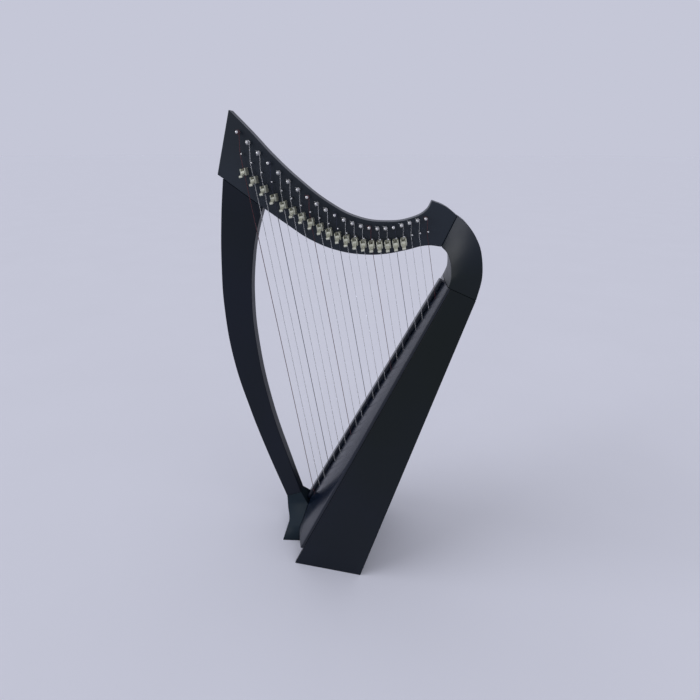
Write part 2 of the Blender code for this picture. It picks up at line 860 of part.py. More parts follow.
def tuning_pin_mesh():
    """Pin through the neck, wound with its string on the near side and squared
    for the tuning key on the far side. Its profile is turned about Z, with the
    near end up, and then laid along Y."""
    half = NECK_THICKNESS / 2
    coil = half + STRING_STANDOFF - COIL_LENGTH / 2
    tip = half + PIN_NEAR_LENGTH
    far = half + PIN_FAR_LENGTH
    waist = far - PIN_SQUARE_LENGTH
    profile = (
        (0.0, tip),
        (PIN_RADIUS - PIN_TIP_CHAMFER, tip),
        (PIN_RADIUS, tip - PIN_TIP_CHAMFER),
        (PIN_RADIUS, coil + COIL_LENGTH),
        (COIL_RADIUS, coil + COIL_LENGTH - GAP),
        (COIL_RADIUS, coil + GAP),
        (PIN_RADIUS, coil),
        (PIN_RADIUS, -waist),
        (0.0, -waist),
    )
    shape = bmesh.new()
    verts = [shape.verts.new((radius, 0.0, z)) for radius, z in profile]
    for first, second in zip(verts, verts[1:]):
        shape.edges.new((first, second))
    mesh = bpy.data.meshes.new("pin_stem")
    shape.to_mesh(mesh)
    shape.free()
    stem = make_cutter(add_object("pin_stem", mesh, NICKEL))
    screw = stem.modifiers.new("Turned", "SCREW")
    screw.steps = SIDES_PIN
    screw.render_steps = SIDES_PIN
    screw.use_merge_vertices = True
    screw.merge_threshold = 0.00001
    square = bmesh.new()
    side = PIN_SQUARE / 2
    block(square, (-side, -side, -far), (side, side, GAP - waist), Matrix.Identity(4))
    square = make_cutter(add_object("pin_square", mesh_of("pin_square", square), NICKEL))
    boolean(stem, square, "UNION")
    mesh = evaluated_mesh(stem)
    mesh.transform(Matrix.Rotation(math.pi / 2, 4, "X"))
    bpy.data.objects.remove(stem)
    bpy.data.objects.remove(square)
    mesh.name = "tuning_pin"
    return mesh


def tuning_pins():
    mesh = tuning_pin_mesh()
    for i, (_, _, tuning, _) in enumerate(STATIONS):
        made = add_object(f"tuning_pin_{i + 1:02d}", mesh)
        made.location = tuning


def centre_on_floor():
    """Moves the whole harp so that the origin is under the middle of its box."""
    bpy.context.view_layer.update()
    graph = bpy.context.evaluated_depsgraph_get()
    low = Vector((math.inf,) * 3)
    high = Vector((-math.inf,) * 3)
    for made in PARTS.objects:
        if made.type != "MESH":
            continue
        solid = made.evaluated_get(graph)
        for corner in solid.bound_box:
            place = solid.matrix_world @ Vector(corner)
            low = Vector(map(min, low, place))
            high = Vector(map(max, high, place))
    middle = (low + high) / 2
    ROOT.location = (-middle.x, -middle.y, -low.z)


def clear_scene():
    for made in list(bpy.data.objects):
        bpy.data.objects.remove(made)


clear_scene()
PARTS = collection("lever_harp")
CUTTERS = collection("cutters")
ROOT = bpy.data.objects.new("harp_root", None)
PARTS.objects.link(ROOT)

LACQUER = material("black_lacquer", rgb(0.011, 0.012, 0.015), 0.25)
BARE_WOOD = material("bare_spruce", rgb(0.60, 0.42, 0.24), 0.6)
NICKEL = material("nickel", rgb(0.62, 0.60, 0.55), 0.28, 1.0)
STRING_FINISH = material("clear_nylon", rgb(0.72, 0.72, 0.74), 0.3)

LINES = string_lines()
STATIONS = string_stations()

soundboard()
string_rib()
strings()
side_panel("soundbox_side_left", -1)
side_panel("soundbox_side_right", 1)
back_panel()
base_board()
for number, place in enumerate(BRACE_DISTANCES):
    brace(f"back_brace_{number + 1}", place)
shoulder_block()
foot_block()
neck()
column()
lever_handles()
tuning_pins()
centre_on_floor()
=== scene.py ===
"""Dresses the small lever harp: lacquered boards, nickel levers and pins, nylon strings.

Metres, +Z up. X runs from the column (-X) to the soundbox (+X). The strings and
levers are on the -Y side of the neck.
"""

import json
import math

import bmesh
import bpy
import numpy as np
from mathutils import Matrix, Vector


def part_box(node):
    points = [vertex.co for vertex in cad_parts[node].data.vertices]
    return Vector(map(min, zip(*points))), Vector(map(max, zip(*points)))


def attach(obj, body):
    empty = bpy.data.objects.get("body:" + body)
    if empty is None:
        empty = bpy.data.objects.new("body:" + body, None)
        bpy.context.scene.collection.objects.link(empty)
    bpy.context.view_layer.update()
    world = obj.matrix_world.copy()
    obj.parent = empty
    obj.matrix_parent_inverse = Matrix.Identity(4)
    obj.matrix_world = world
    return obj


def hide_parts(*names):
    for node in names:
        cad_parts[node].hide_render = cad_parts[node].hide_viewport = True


bl_info = {
    "name": "Lever Harp",
    "version": (1, 0, 0),
    "blender": (4, 5, 0),
    "location": "View3D > Sidebar > Harp",
    "description": "Builds the finished pieces of a small lever harp around its solid model",
    "category": "Object",
}

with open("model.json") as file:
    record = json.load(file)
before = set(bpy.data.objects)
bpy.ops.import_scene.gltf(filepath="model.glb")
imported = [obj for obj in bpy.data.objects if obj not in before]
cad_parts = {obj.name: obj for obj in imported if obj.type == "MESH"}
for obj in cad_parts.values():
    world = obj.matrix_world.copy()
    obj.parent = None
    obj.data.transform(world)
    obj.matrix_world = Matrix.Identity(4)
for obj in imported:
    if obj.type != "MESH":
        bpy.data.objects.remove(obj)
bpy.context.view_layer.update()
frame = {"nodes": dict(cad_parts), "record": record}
JOINTS = {joint["name"]: joint for joint in frame["record"]["behaviour"]["joints"]}

GAP = 0.0003

# Soundbox. s runs up the board from the floor line, eta stands square to it.
BOARD_TILT = math.radians(68.3)
BOARD_LENGTH = 0.635
BOARD_THICKNESS = 0.005
HALF_WIDTHS = (0.114, 0.050)
CROWNS = (0.0175, 0.003)
BOX_DEPTHS = (0.136, 0.0483)
SIDE_THICKNESS = 0.008
BACK_THICKNESS = 0.005
BASE_HEIGHT = 0.040
TENON_DEPTH = 0.018
SOUND_HOLES = ((0.150, 0.032), (0.330, 0.026), (0.500, 0.020))
FLOOR_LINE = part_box("soundbox_side_left")[0].x - (BOARD_THICKNESS + GAP) / math.sin(BOARD_TILT)

# Rib on the soundboard, and the strip under it that holds the strings' knots
RIB_WIDTH = 0.0166
RIB_HEIGHT = 0.007
RIB_END_MARGIN = 0.003
ANCHOR_WIDTH = 0.014
ANCHOR_THICKNESS = 0.004
ANCHOR_OVERHANG = 0.018

# Strings, the first of them the longest
STRINGS = 22
FIRST_STRING = 0.108
LAST_STRING_MARGIN = 0.0314
PITCH_TAPER = 0.8295
LEANS = (math.radians(12.2), math.radians(13.2))
STANDOFF = 0.0113
STRING_HOLE_RADIUS = 0.0012
RED_STRINGS = (0, 7, 14, 21)
BLUE_STRINGS = (3, 10, 17)
# A knot's middle radius, how far that swings, and its depth, in radii of the string
KNOT_RADIUS = 2.2
KNOT_SWING = 0.95
KNOT_DEPTH = 1.1
KNOT_POINTS = 60
COILED_TURNS = 4.4
COIL_STEPS = 36
# From one turn to the next, in radii of the string
COIL_PITCH = 2.06
# Where the tail begins, as a share of its length from the pin's surface
TAIL_ROOT = -0.4
STRING_TAIL = 0.0035
BRIDGE_BEND = 0.0022

# Tuning pins and bridge pins
NECK_HALF = 0.011
PIN_RADIUS = 0.0025
COIL_RADIUS = 0.0034
PIN_NEAR = 0.0155
PIN_FAR = 0.0200
PIN_SQUARE = 0.0042
PIN_SQUARE_LENGTH = 0.0120
SQUARENESS = 9
PIN_SHOULDER = 0.0006
PIN_CHAMFER = 0.0005
# The near end's dome and the small flat at its tip, as shares of the radius
PIN_DOME = 0.55
PIN_TIP = 0.06
BRIDGE_PIN_RADIUS = 0.0014
BRIDGE_PIN_LENGTH = 0.0132
BRIDGE_GROOVE = 0.00035
BRIDGE_GROOVE_HALF = 0.0009
SEAT = 0.0006

# Levers, in the frame of a bracket: x across the string, y out of the neck, z up
LEVERS = 19
BRACKET_HALF = 0.0047
BRACKET_LONG = 0.00625
BRACKET_DEPTH = 0.0178
BRACKET_WALL = 0.0013
BRACKET_FLOOR = 0.0020
BRACKET_EDGE = 0.00018
EAR_RADIUS = 0.0026
BEND_RADIUS = 0.0013
FRET_THICKNESS = 0.0016
FRET_OFFSET = -0.0048
AXLE_STANDOFF = 0.0158
AXLE_OFFSET = -0.0010
AXLE_RADIUS = 0.0011
RIVET_RADIUS = 0.0016
RIVET_HEIGHT = 0.0004
CAM_RADIUS = 0.0034
CAM_FLAT = 0.0016
HANDLE_REACH = 0.0200
HANDLE_THICKNESS = 0.0018
HANDLE_TAPER = 0.90
HANDLE_EDGE = 0.00025
KNOB_RADIUS = 0.0019
KNOB_ARC = math.radians(130)
DROOP = math.radians(19)
SCREW_RADIUS = 0.0021
SCREW_HEIGHT = 0.0009
SCREW_PLACES = (0.0024, -0.0022)

# Outlines in the XZ plane from the floor line: x, z and whether it is a corner
NECK_OUTLINE = (
    (-0.144, 0.860, 1), (-0.108, 0.827, 0), (-0.070, 0.790, 0), (-0.024, 0.751, 0),
    (0.032, 0.712, 0), (0.078, 0.691, 0), (0.126, 0.685, 0), (0.170, 0.693, 0),
    (0.190, 0.706, 0), (0.197, 0.721, 1), (0.218, 0.713, 0), (0.238, 0.699, 1),
    (0.220, 0.648, 1), (0.198, 0.649, 0), (0.163, 0.639, 0), (0.131, 0.631, 0),
    (0.097, 0.628, 0), (0.048, 0.633, 0), (-0.003, 0.651, 0), (-0.037, 0.671, 0),
    (-0.086, 0.702, 1), (-0.159, 0.750, 1), (-0.169, 0.756, 1),
)
COLUMN_OUTLINE = (
    (-0.159, 0.750, 1), (-0.165, 0.688, 0), (-0.169, 0.595, 0), (-0.167, 0.510, 0),
    (-0.151, 0.397, 0), (-0.118, 0.285, 0), (-0.083, 0.189, 0), (-0.037, 0.076, 1),
    (-0.005, 0.093, 1), (-0.028, 0.158, 0), (-0.075, 0.304, 0), (-0.102, 0.437, 0),
    (-0.1095, 0.525, 0), (-0.107, 0.600, 0), (-0.099, 0.655, 0), (-0.086, 0.702, 1),
)
# How far a smooth point's handle reaches, as a share of the way to its neighbour
HANDLE_SHARE = 1 / 2.5614
OUTLINE_STEPS = 14

# Shoulder and foot: edges in the XZ plane from the floor line
SHOULDER_INNER = ((0.220, 0.648), (0.2295, 0.640), (0.2355, 0.626), (0.238, 0.608))
SHOULDER_OUTER = ((0.238, 0.699), (0.254, 0.687), (0.268, 0.669), (0.278, 0.646))
SHOULDER_ENDS = ((0.237, 0.598), (0.2835, 0.610))
SHOULDER_JOINT_FADE = 4
FOOT_FRONT = (
    (-0.037, 0.076), (-0.0335, 0.050), (-0.028, 0.033),
    (-0.027, 0.021), (-0.030, 0.010), (-0.033, 0.0),
)
FOOT_FRONT_HALF = 0.063
FOOT_FRONT_FLARE = 2.2
FOOT_REAR_HALF = 0.055
FOOT_REAR_FLARE = 1.6
FOOT_REAR_TOP = (-0.005, 0.093)
FOOT_TOP_PLACE = 0.0735
# Shares of the way down where the inner face meets the soundboard and leaves it
FOOT_SHARES = (0.1, 0.6)

# How rough the lacquer is, from its clearest patches to its haziest
SATIN = (0.30, 0.44)
POLISHED = (0.18, 0.32)
DULL = (0.46, 0.60)
# Colour of the specks of dust
DUST = (0.16, 0.16, 0.17)

# A bend past this angle is an edge
SHARP_BEND = math.radians(38)
CORNER_POINTS = 5

# Stage
FLOOR_RADIUS = 60.0
KEY_SIDE = (-1.6, -0.75, 0.75)
# The picture's side and the point that the camera looks straight at, in pixels
PHOTO_SIZE = 700
PRINCIPAL_POINT = (277.68, 323.81)
CAMERA_PLACE = (0.09402, -0.80105, 0.79953)
CAMERA_YAW = -0.25954
CAMERA_PITCH = 0.36751
CAMERA_LENS = 23.447


class HarpSizes(bpy.types.PropertyGroup):
    """Sizes that change the finish of the pieces and not how they fit."""

    board_edge: bpy.props.FloatProperty(
        name="Board edge", description="Rounding of the neck's and the column's edges",
        default=0.0013, min=0.0002, max=0.003, unit="LENGTH")
    box_edge: bpy.props.FloatProperty(
        name="Box edge", description="Rounding of the soundbox's edges",
        default=0.0010, min=0.0002, max=0.002, unit="LENGTH")
    block_edge: bpy.props.FloatProperty(
        name="Block edge", description="Rounding of the foot's and the shoulder's edges",
        default=0.0009, min=0.0002, max=0.002, unit="LENGTH")
    bass_radius: bpy.props.FloatProperty(
        name="Bass string radius", description="Radius of the longest string",
        default=0.0006, min=0.0002, max=0.001, unit="LENGTH")
    treble_radius: bpy.props.FloatProperty(
        name="Treble string radius", description="Radius of the shortest string",
        default=0.00035, min=0.0002, max=0.001, unit="LENGTH")
    peel: bpy.props.FloatProperty(
        name="Orange peel", description="Depth of the ripple in the sprayed lacquer",
        default=0.00012, min=0.0, max=0.001, unit="LENGTH")


class HarpColours(bpy.types.PropertyGroup):
    """Colours of the finishes."""

    lacquer: bpy.props.FloatVectorProperty(
        name="Lacquer", description="Black of the lacquered wood",
        default=(0.0030, 0.0060, 0.0160), subtype="COLOR", min=0, max=1)
    # Used both for real greener patches in the lacquer and for the painted reflection that changes between
    # two heights.
    lacquer_cast_and_reflection: bpy.props.FloatVectorProperty(
        name="Lacquer cast", description="The greener black that drifts through it",
        default=(0.0008, 0.0045, 0.0038), subtype="COLOR", min=0, max=1)
    # Painted light: a lighter, greyer copy of the lacquer for the neck, standing in for the brighter light
    # that falls on it.
    neck_painted_light: bpy.props.FloatVectorProperty(
        name="Rubbed lacquer", description="The greyer black of the neck, which hands rub most",
        default=(0.0165, 0.0235, 0.0370), subtype="COLOR", min=0, max=1)
    foot: bpy.props.FloatVectorProperty(
        name="Foot lacquer", description="Black of the foot",
        default=(0.0100, 0.0185, 0.0290), subtype="COLOR", min=0, max=1)
    # Painted highlight: a lighter, bluer copy of the lacquer for the shoulder, standing in for the soft
    # reflection of the light on it.
    knee: bpy.props.FloatVectorProperty(
        name="Shoulder lacquer", description="Bluer black of the shoulder",
        default=(0.0060, 0.0110, 0.0260), subtype="COLOR", min=0, max=1)
    nickel: bpy.props.FloatVectorProperty(
        name="Nickel", description="Plating of the pins",
        default=(0.62, 0.62, 0.61), subtype="COLOR", min=0, max=1)
    lever_nickel: bpy.props.FloatVectorProperty(
        name="Lever nickel", description="Warmer plating of the levers and brackets",
        default=(0.60, 0.61, 0.51), subtype="COLOR", min=0, max=1)
    clear: bpy.props.FloatVectorProperty(
        name="Clear nylon", description="Uncoloured strings",
        default=(0.80, 0.81, 0.84), subtype="COLOR", min=0, max=1)
    red: bpy.props.FloatVectorProperty(
        name="Red nylon", description="Strings of the note C",
        default=(0.070, 0.008, 0.014), subtype="COLOR", min=0, max=1)
    blue: bpy.props.FloatVectorProperty(
        name="Blue nylon", description="Strings of the note F",
        default=(0.007, 0.010, 0.034), subtype="COLOR", min=0, max=1)
    spruce: bpy.props.FloatVectorProperty(
        name="Spruce", description="Bare wood inside the soundbox",
        default=(0.58, 0.41, 0.23), subtype="COLOR", min=0, max=1)
    floor: bpy.props.FloatVectorProperty(
        name="Floor", description="The pale floor",
        default=(0.744, 0.761, 0.907), subtype="COLOR", min=0, max=1)
    room: bpy.props.FloatVectorProperty(
        name="Room", description="What is seen beyond the floor",
        default=(0.558, 0.571, 0.680), subtype="COLOR", min=0, max=1)


class HarpStage(bpy.types.PropertyGroup):
    """Lights of the stage."""

    key: bpy.props.FloatProperty(
        name="Key light", description="Strength of the wide soft light at the column's side",
        default=1.2, min=0, max=10)
    key_width: bpy.props.FloatProperty(
        name="Key width", description="How wide the key light looks from the harp",
        default=math.radians(40), min=0, max=math.pi, subtype="ANGLE")
    fill: bpy.props.FloatProperty(
        name="Fill", description="Strength of the light from all round",
        default=0.6, min=0, max=2)


def sizes():
    """The sizes that are set in the sidebar."""
    return bpy.context.scene.harp_sizes


def colours():
    """The colours that are set in the sidebar."""
    return bpy.context.scene.harp_colours


def between(pair, share):
    """The value that lies a share of the way from the first to the second."""
    return pair[0] + (pair[1] - pair[0]) * share


def half_width(s):
    """Half the soundbox's width, which falls evenly up the board."""
    return between(HALF_WIDTHS, s / BOARD_LENGTH)


def crown(s, y):
    """Rise of the soundboard's face: greatest along the middle, a parabola across."""
    return between(CROWNS, s / BOARD_LENGTH) * (1 - (y / half_width(s)) ** 2)


def box_depth(s):
    """From the soundboard's edges to the back, which falls evenly up the board."""
    return between(BOX_DEPTHS, s / BOARD_LENGTH)


def inner_half(s):
    """Half the room between the two sides."""
    return half_width(s) - SIDE_THICKNESS - GAP


def at(s, y, eta):
    """Points from the place up the board, across it and square to it."""
    x = FLOOR_LINE + s * math.cos(BOARD_TILT) - eta * math.sin(BOARD_TILT)
    z = s * math.sin(BOARD_TILT) + eta * math.cos(BOARD_TILT)
    return np.stack(np.broadcast_arrays(x, y, z), -1)


def place_at_height(z, y, lift):
    """Place up the board where the face, lifted off its crown, has the height z.
    The crown there depends on the place, so the sum is repeated until it settles."""
    s = z / math.sin(BOARD_TILT)
    for _ in range(8):
        s = (z - (crown(s, y) + lift) * math.cos(BOARD_TILT)) / math.sin(BOARD_TILT)
    return s


def smooth(points, shares):
    """Places along a smooth curve: between two knots each coordinate is the cubic
    with the knots' own values, and a slope at a knot is that between its neighbours."""
    knots = np.array(points, float)
    slopes = np.gradient(knots, axis=0)
    values = np.asarray(shares) * (len(knots) - 1)
    i = np.minimum(values.astype(int), len(knots) - 2)
    t = (values - i)[..., None]
    return (
        (2 * t**3 - 3 * t**2 + 1) * knots[i] + (t**3 - 2 * t**2 + t) * slopes[i]
        + (3 * t**2 - 2 * t**3) * knots[i + 1] + (t**3 - t**2) * slopes[i + 1]
    )


def unit(vectors):
    """Every vector brought to a length of one."""
    return vectors / np.linalg.norm(vectors, axis=-1, keepdims=True)


def drawn_outline(points):
    """The closed outline through the points, as rows of x, z. Each stretch is a
    cubic with a handle at each end. A corner's handles lie a third of the way to its
    neighbours. A smooth point's share one direction, the sum of its two unit steps."""
    table = np.array(points, float)
    knots = table[:, :2] + (FLOOR_LINE, 0.0)
    corner = table[:, 2:] > 0
    step = np.roll(knots, -1, axis=0) - knots
    length = np.linalg.norm(step, axis=1, keepdims=True)
    along = unit(step / length + np.roll(step / length, 1, axis=0))
    leave = np.where(corner, step / 3, along * length * HANDLE_SHARE)
    arrive = np.roll(np.where(corner, np.roll(step, 1, axis=0) / 3,
                              along * np.roll(length, 1, axis=0) * HANDLE_SHARE), -1, axis=0)
    t = (np.arange(OUTLINE_STEPS) / OUTLINE_STEPS)[None, :, None]
    first = knots[:, None]
    last = np.roll(knots, -1, axis=0)[:, None]
    curve = (
        (1 - t) ** 3 * first + 3 * (1 - t) ** 2 * t * (first + leave[:, None])
        + 3 * (1 - t) * t**2 * (last - arrive[:, None]) + t**3 * last
    )
    straight = (corner & np.roll(corner, -1, axis=0))[:, 0]
    keep = np.ones(curve.shape[:2], bool)
    keep[straight, 1:] = False
    return curve[keep]


def joint_clearance(first, last):
    """The step that the joint from one point to the other leaves below it."""
    line = np.array(last[:2]) - np.array(first[:2])
    return unit(np.array((line[1], -line[0]))) * GAP


class Shape:
    """Points and faces of one piece, gathered from its surfaces."""

    def __init__(self):
        self.points = []
        self.faces = []
        self.finishes = []
        self.count = 0

    def add(self, points, faces, finish=0):
        """Takes in a surface, with one finish for all its faces or one for each."""
        points = np.asarray(points, float).reshape(-1, 3)
        finishes = np.broadcast_to(finish, len(faces))
        self.points.append(points)
        self.faces += [(np.asarray(face) + self.count).tolist() for face in faces]
        self.finishes += finishes.tolist()
        self.count += len(points)
        return self

    def mesh(self, name):
        """The points and faces as a mesh, with its faces pointing outwards."""
        made = bpy.data.meshes.new(name)
        made.from_pydata(np.concatenate(self.points), [], self.faces)
        made.polygons.foreach_set("material_index", self.finishes)
        solid = bmesh.new()
        solid.from_mesh(made)
        bmesh.ops.recalc_face_normals(solid, faces=solid.faces)
        solid.to_mesh(made)
        solid.free()
        return made

    def make(self, name, materials, body, slot, *nodes):
        """The finished object, riding on its body."""
        mesh = self.mesh(name)
        for material in materials:
            mesh.materials.append(material)
        mesh.shade_smooth()
        mesh.set_sharp_from_angle(angle=SHARP_BEND)
        made = bpy.data.objects.new(name, mesh)
        bpy.context.scene.collection.objects.link(made)
        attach(made, body)
        if nodes:
            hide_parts(*nodes)
        return made


def quads(index):
    """The faces of a grid of point numbers, as rows of four."""
    return np.stack((index[:-1, :-1], index[1:, :-1], index[1:, 1:], index[:-1, 1:]), -1).reshape(-1, 4)


def swept(rings):
    """A skin over closed rings of points, with a flat cap on the first and the last."""
    rows, sides, _ = rings.shape
    index = np.arange(rows * sides).reshape(rows, sides)
    around = np.concatenate((index, index[:, :1]), 1)
    return rings, [*quads(around), index[0][::-1], index[-1]]


def lattice(place, counts):
    """The skin of a block: every point of a grid in u, v and w from 0 to 1 that lies
    on one of its six sides, moved to place(u, v, w). Faces come side by side, with
    the number of the side for each."""
    grid = np.indices([count + 1 for count in counts])
    last = np.array(counts)[:, None, None, None]
    skin = ((grid == 0) | (grid == last)).any(0)
    index = np.full(skin.shape, -1)
    index[skin] = np.arange(skin.sum())
    u, v, w = (grid[axis][skin] / counts[axis] for axis in range(3))
    sides = [quads(np.take(index, end, axis)) for axis in range(3) for end in (0, -1)]
    numbers = np.repeat(np.arange(6), [len(side) for side in sides])
    return place(u, v, w), np.concatenate(sides), numbers


def turned(profile, middle, sides, radius_at=None):
    """A profile of radius and y turned about the line through the middle that runs
    along Y. radius_at(angle, row) may press the rings out of round."""
    radius, y = (np.asarray(values, float)[:, None] for values in zip(*profile))
    angle = np.linspace(0, 2 * math.pi, sides, endpoint=False)
    if radius_at:
        radius = radius * radius_at(angle, np.arange(len(radius))[:, None])
    x = middle[0] + radius * np.cos(angle)
    z = middle[2] + radius * np.sin(angle)
    return swept(np.stack(np.broadcast_arrays(x, y, z), -1))


def tube(path, radius, sides=10):
    """A round skin along a path. Its rings are square to the path, and each starts
    on the side that faces along Y."""
    path = np.asarray(path, float)
    along = unit(np.gradient(path, axis=0))
    first = unit(np.array((0.0, 1.0, 0.0)) - along[:, 1:2] * along)
    second = np.cross(along, first)
    angle = np.linspace(0, 2 * math.pi, sides, endpoint=False)[None, :, None]
    rings = path[:, None] + radius * (np.cos(angle) * first[:, None] + np.sin(angle) * second[:, None])
    return swept(rings)


def arc(middle, radius, start, end, steps):
    """Points on a circle, evenly from one angle to another."""
    angle = np.linspace(start, end, steps)
    return np.stack((middle[0] + radius * np.cos(angle), middle[1] + radius * np.sin(angle)), -1)


def board(outline, half):
    """A flat board: its outline at both faces, joined all round, with a flat cap on each."""
    faces = np.stack([np.insert(outline, 1, y, axis=1) for y in (-half, half)])
    return swept(faces)


def bevelled(made, width, segments=3):
    """Rounds the sharp edges and keeps the flat faces flat."""
    modifier = made.modifiers.new("Rounded edges", "BEVEL")
    modifier.width = width
    modifier.segments = segments
    modifier.limit_method = "ANGLE"
    modifier.angle_limit = SHARP_BEND
    modifier.use_clamp_overlap = False
    modifier.harden_normals = True


def cut(made, shape):
    """Takes a shape out of a piece for good."""
    mesh = shape.mesh("cutter")
    tool = bpy.data.objects.new("cutter", mesh)
    bpy.context.scene.collection.objects.link(tool)
    modifier = made.modifiers.new("Cut", "BOOLEAN")
    modifier.operation = "DIFFERENCE"
    modifier.solver = "EXACT"
    modifier.object = tool
    bpy.context.view_layer.update()
    whole = made.data
    made.data = bpy.data.meshes.new_from_object(made.evaluated_get(bpy.context.evaluated_depsgraph_get()))
    made.modifiers.clear()
    bpy.data.objects.remove(tool)
    bpy.data.meshes.remove(mesh)
    bpy.data.meshes.remove(whole)
    made.data.name = made.name
    made.data.set_sharp_from_angle(angle=SHARP_BEND)
    return made


def string_table():
    """For all strings at once: radius, foot on the soundboard, direction, the point
    at the bridge pin and the middle of the tuning pin. The tuning pins' places come
    from their joints, and a string runs up beside its pin's coil."""
    i = np.arange(STRINGS)
    last = STRINGS - 1
    y = -(NECK_HALF + STANDOFF)
    pitch = 2 * (BOARD_LENGTH - LAST_STRING_MARGIN - FIRST_STRING) / (last * (1 + PITCH_TAPER))
    s = FIRST_STRING + pitch * (i - (1 - PITCH_TAPER) * i * (i - 1) / (2 * (last - 1)))
    lean = between(LEANS, i / last)
    radius = between((sizes().bass_radius, sizes().treble_radius), i / last)
    foot = at(s, y, crown(s, y))
    up = np.stack((-np.sin(lean), np.zeros(STRINGS), np.cos(lean)), -1)
    tuning = np.array([JOINTS[f"tuning_pin_{n + 1:02d}_turn"]["pos_m"] for n in i])
    reach = (tuning[:, 0] + COIL_RADIUS + radius + GAP - foot[:, 0]) / up[:, 0]
    top = foot + up * reach[:, None]
    return radius, foot, up, top, tuning


def string_finish(i, finishes):
    """The clear, red or blue finish of one string."""
    return finishes[1 if i in RED_STRINGS else 2 if i in BLUE_STRINGS else 0]


def tree(name, **constants):
    """A new material with a Principled shader, and the values that are the same all
    over it set on the shader's own sockets."""
    made = bpy.data.materials.new(name)
    made.use_nodes = True
    shader = made.node_tree.nodes["Principled BSDF"]
    for socket, value in constants.items():
        shader.inputs[socket.replace("_", " ")].default_value = value
    return made, made.node_tree, shader


def noise(nodes, scale, detail=2.0, stretch=(1, 1, 1), roughness=0.5):
    """Noise over the piece's own coordinates, stretched along its axes."""
    place = nodes.nodes.new("ShaderNodeTexCoord")
    mapping = nodes.nodes.new("ShaderNodeMapping")
    mapping.inputs["Scale"].default_value = stretch
    nodes.links.new(place.outputs["Object"], mapping.inputs["Vector"])
    made = nodes.nodes.new("ShaderNodeTexNoise")
    made.inputs["Scale"].default_value = scale
    made.inputs["Detail"].default_value = detail
    made.inputs["Roughness"].default_value = roughness
    nodes.links.new(mapping.outputs["Vector"], made.inputs["Vector"])
    return made.outputs["Fac"]


def height(nodes):
    """How high a point of the piece is over the floor."""
    place = nodes.nodes.new("ShaderNodeTexCoord")
    split = nodes.nodes.new("ShaderNodeSeparateXYZ")
    nodes.links.new(place.outputs["Object"], split.inputs[0])
    return split.outputs["Z"]


def ranged(nodes, value, low, high, to_low, to_high):
    """The value from low to high brought to another range."""
    made = nodes.nodes.new("ShaderNodeMapRange")
    for name, number in (("From Min", low), ("From Max", high), ("To Min", to_low), ("To Max", to_high)):
        made.inputs[name].default_value = number
    nodes.links.new(value, made.inputs["Value"])
    return made.outputs["Result"]


def mixed(nodes, share, first, second):
    """One colour turning into another by a share that varies over the piece."""
    made = nodes.nodes.new("ShaderNodeMix")
    made.data_type = "RGBA"
    nodes.links.new(share, made.inputs["Factor"])
    for socket, colour in zip((made.inputs[6], made.inputs[7]), (first, second)):
        if isinstance(colour, bpy.types.NodeSocket):
            nodes.links.new(colour, socket)
        else:
            socket.default_value = (*colour, 1.0)
    return made.outputs[2]


def bumped(nodes, shader, relief, distance, strength=1.0):
    """Raises and sinks the surface to the eye by a value that varies over the piece."""
    made = nodes.nodes.new("ShaderNodeBump")
    made.inputs["Distance"].default_value = distance
    made.inputs["Strength"].default_value = strength
    nodes.links.new(relief, made.inputs["Height"])
    nodes.links.new(made.outputs["Normal"], shader.inputs["Normal"])


def known(name, maker):
    """The material of this name, made the first time that it is asked for."""
    return bpy.data.materials.get(name) or maker(name)


def lacquer(name, black, gloss, haze, heights):
    """Sprayed lacquer: a black that turns greener in broad patches, hazy where hands rub it,
    with specks of dust and a fine orange peel. Between two heights it also turns greener
    as a painted reflection, a tint that stands in for how the reflection changes up the piece."""
    made, nodes, shader = tree(name, Specular_IOR_Level=gloss)
    patches = ranged(nodes, noise(nodes, 5.0), 0.35, 0.65, 0.0, 0.35)
    # Painted reflection: between the two heights the black turns greener, standing in for how the
    # reflection on the piece changes up it.
    painted_reflection = ranged(nodes, height(nodes), *heights, 0.0, 0.65)
    both = nodes.nodes.new("ShaderNodeMath")
    both.operation = "ADD"
    nodes.links.new(patches, both.inputs[0])
    nodes.links.new(painted_reflection, both.inputs[1])
    tint = mixed(nodes, both.outputs[0], black, colours().lacquer_cast_and_reflection)
    dust = ranged(nodes, noise(nodes, 520.0, 1.0), 0.76, 0.82, 0.0, 0.05)
    nodes.links.new(mixed(nodes, dust, tint, DUST), shader.inputs["Base Color"])
    rubbing = noise(nodes, 11.0, 5.0, roughness=0.62)
    nodes.links.new(ranged(nodes, rubbing, 0.3, 0.7, *haze), shader.inputs["Roughness"])
    bumped(nodes, shader, noise(nodes, 260.0, 2.0), sizes().peel, 0.35)
    return made


def plated(name, colour, metal, dullness, stretch):
    """Nickel plate: duller and darker in patches, with fine rubbing marks. metal is
    the share of it that is bright, and the rest is a pale haze."""
    made, nodes, shader = tree(name, Metallic=metal)
    patches = ranged(nodes, noise(nodes, 180.0, 4.0), 0.4, 0.75, 0.0, 0.55)
    worn = [channel * 0.62 for channel in colour]
    nodes.links.new(mixed(nodes, patches, colour, worn), shader.inputs["Base Color"])
    marks = noise(nodes, 900.0, 3.0, stretch)
    nodes.links.new(ranged(nodes, marks, 0.3, 0.7, *dullness), shader.inputs["Roughness"])
    bumped(nodes, shader, marks, 0.00003, 0.5)
    return made


def nickel(name):
    """Bright plate of the pins, with rubbing marks along their length."""
    return plated(name, colours().nickel, 1.0, (0.16, 0.34), (1, 0.15, 1))


def lever_nickel(name):
    """Duller and warmer plate of the levers, with rubbing marks upwards."""
    return plated(name, colours().lever_nickel, 0.6, (0.30, 0.52), (1, 1, 0.15))


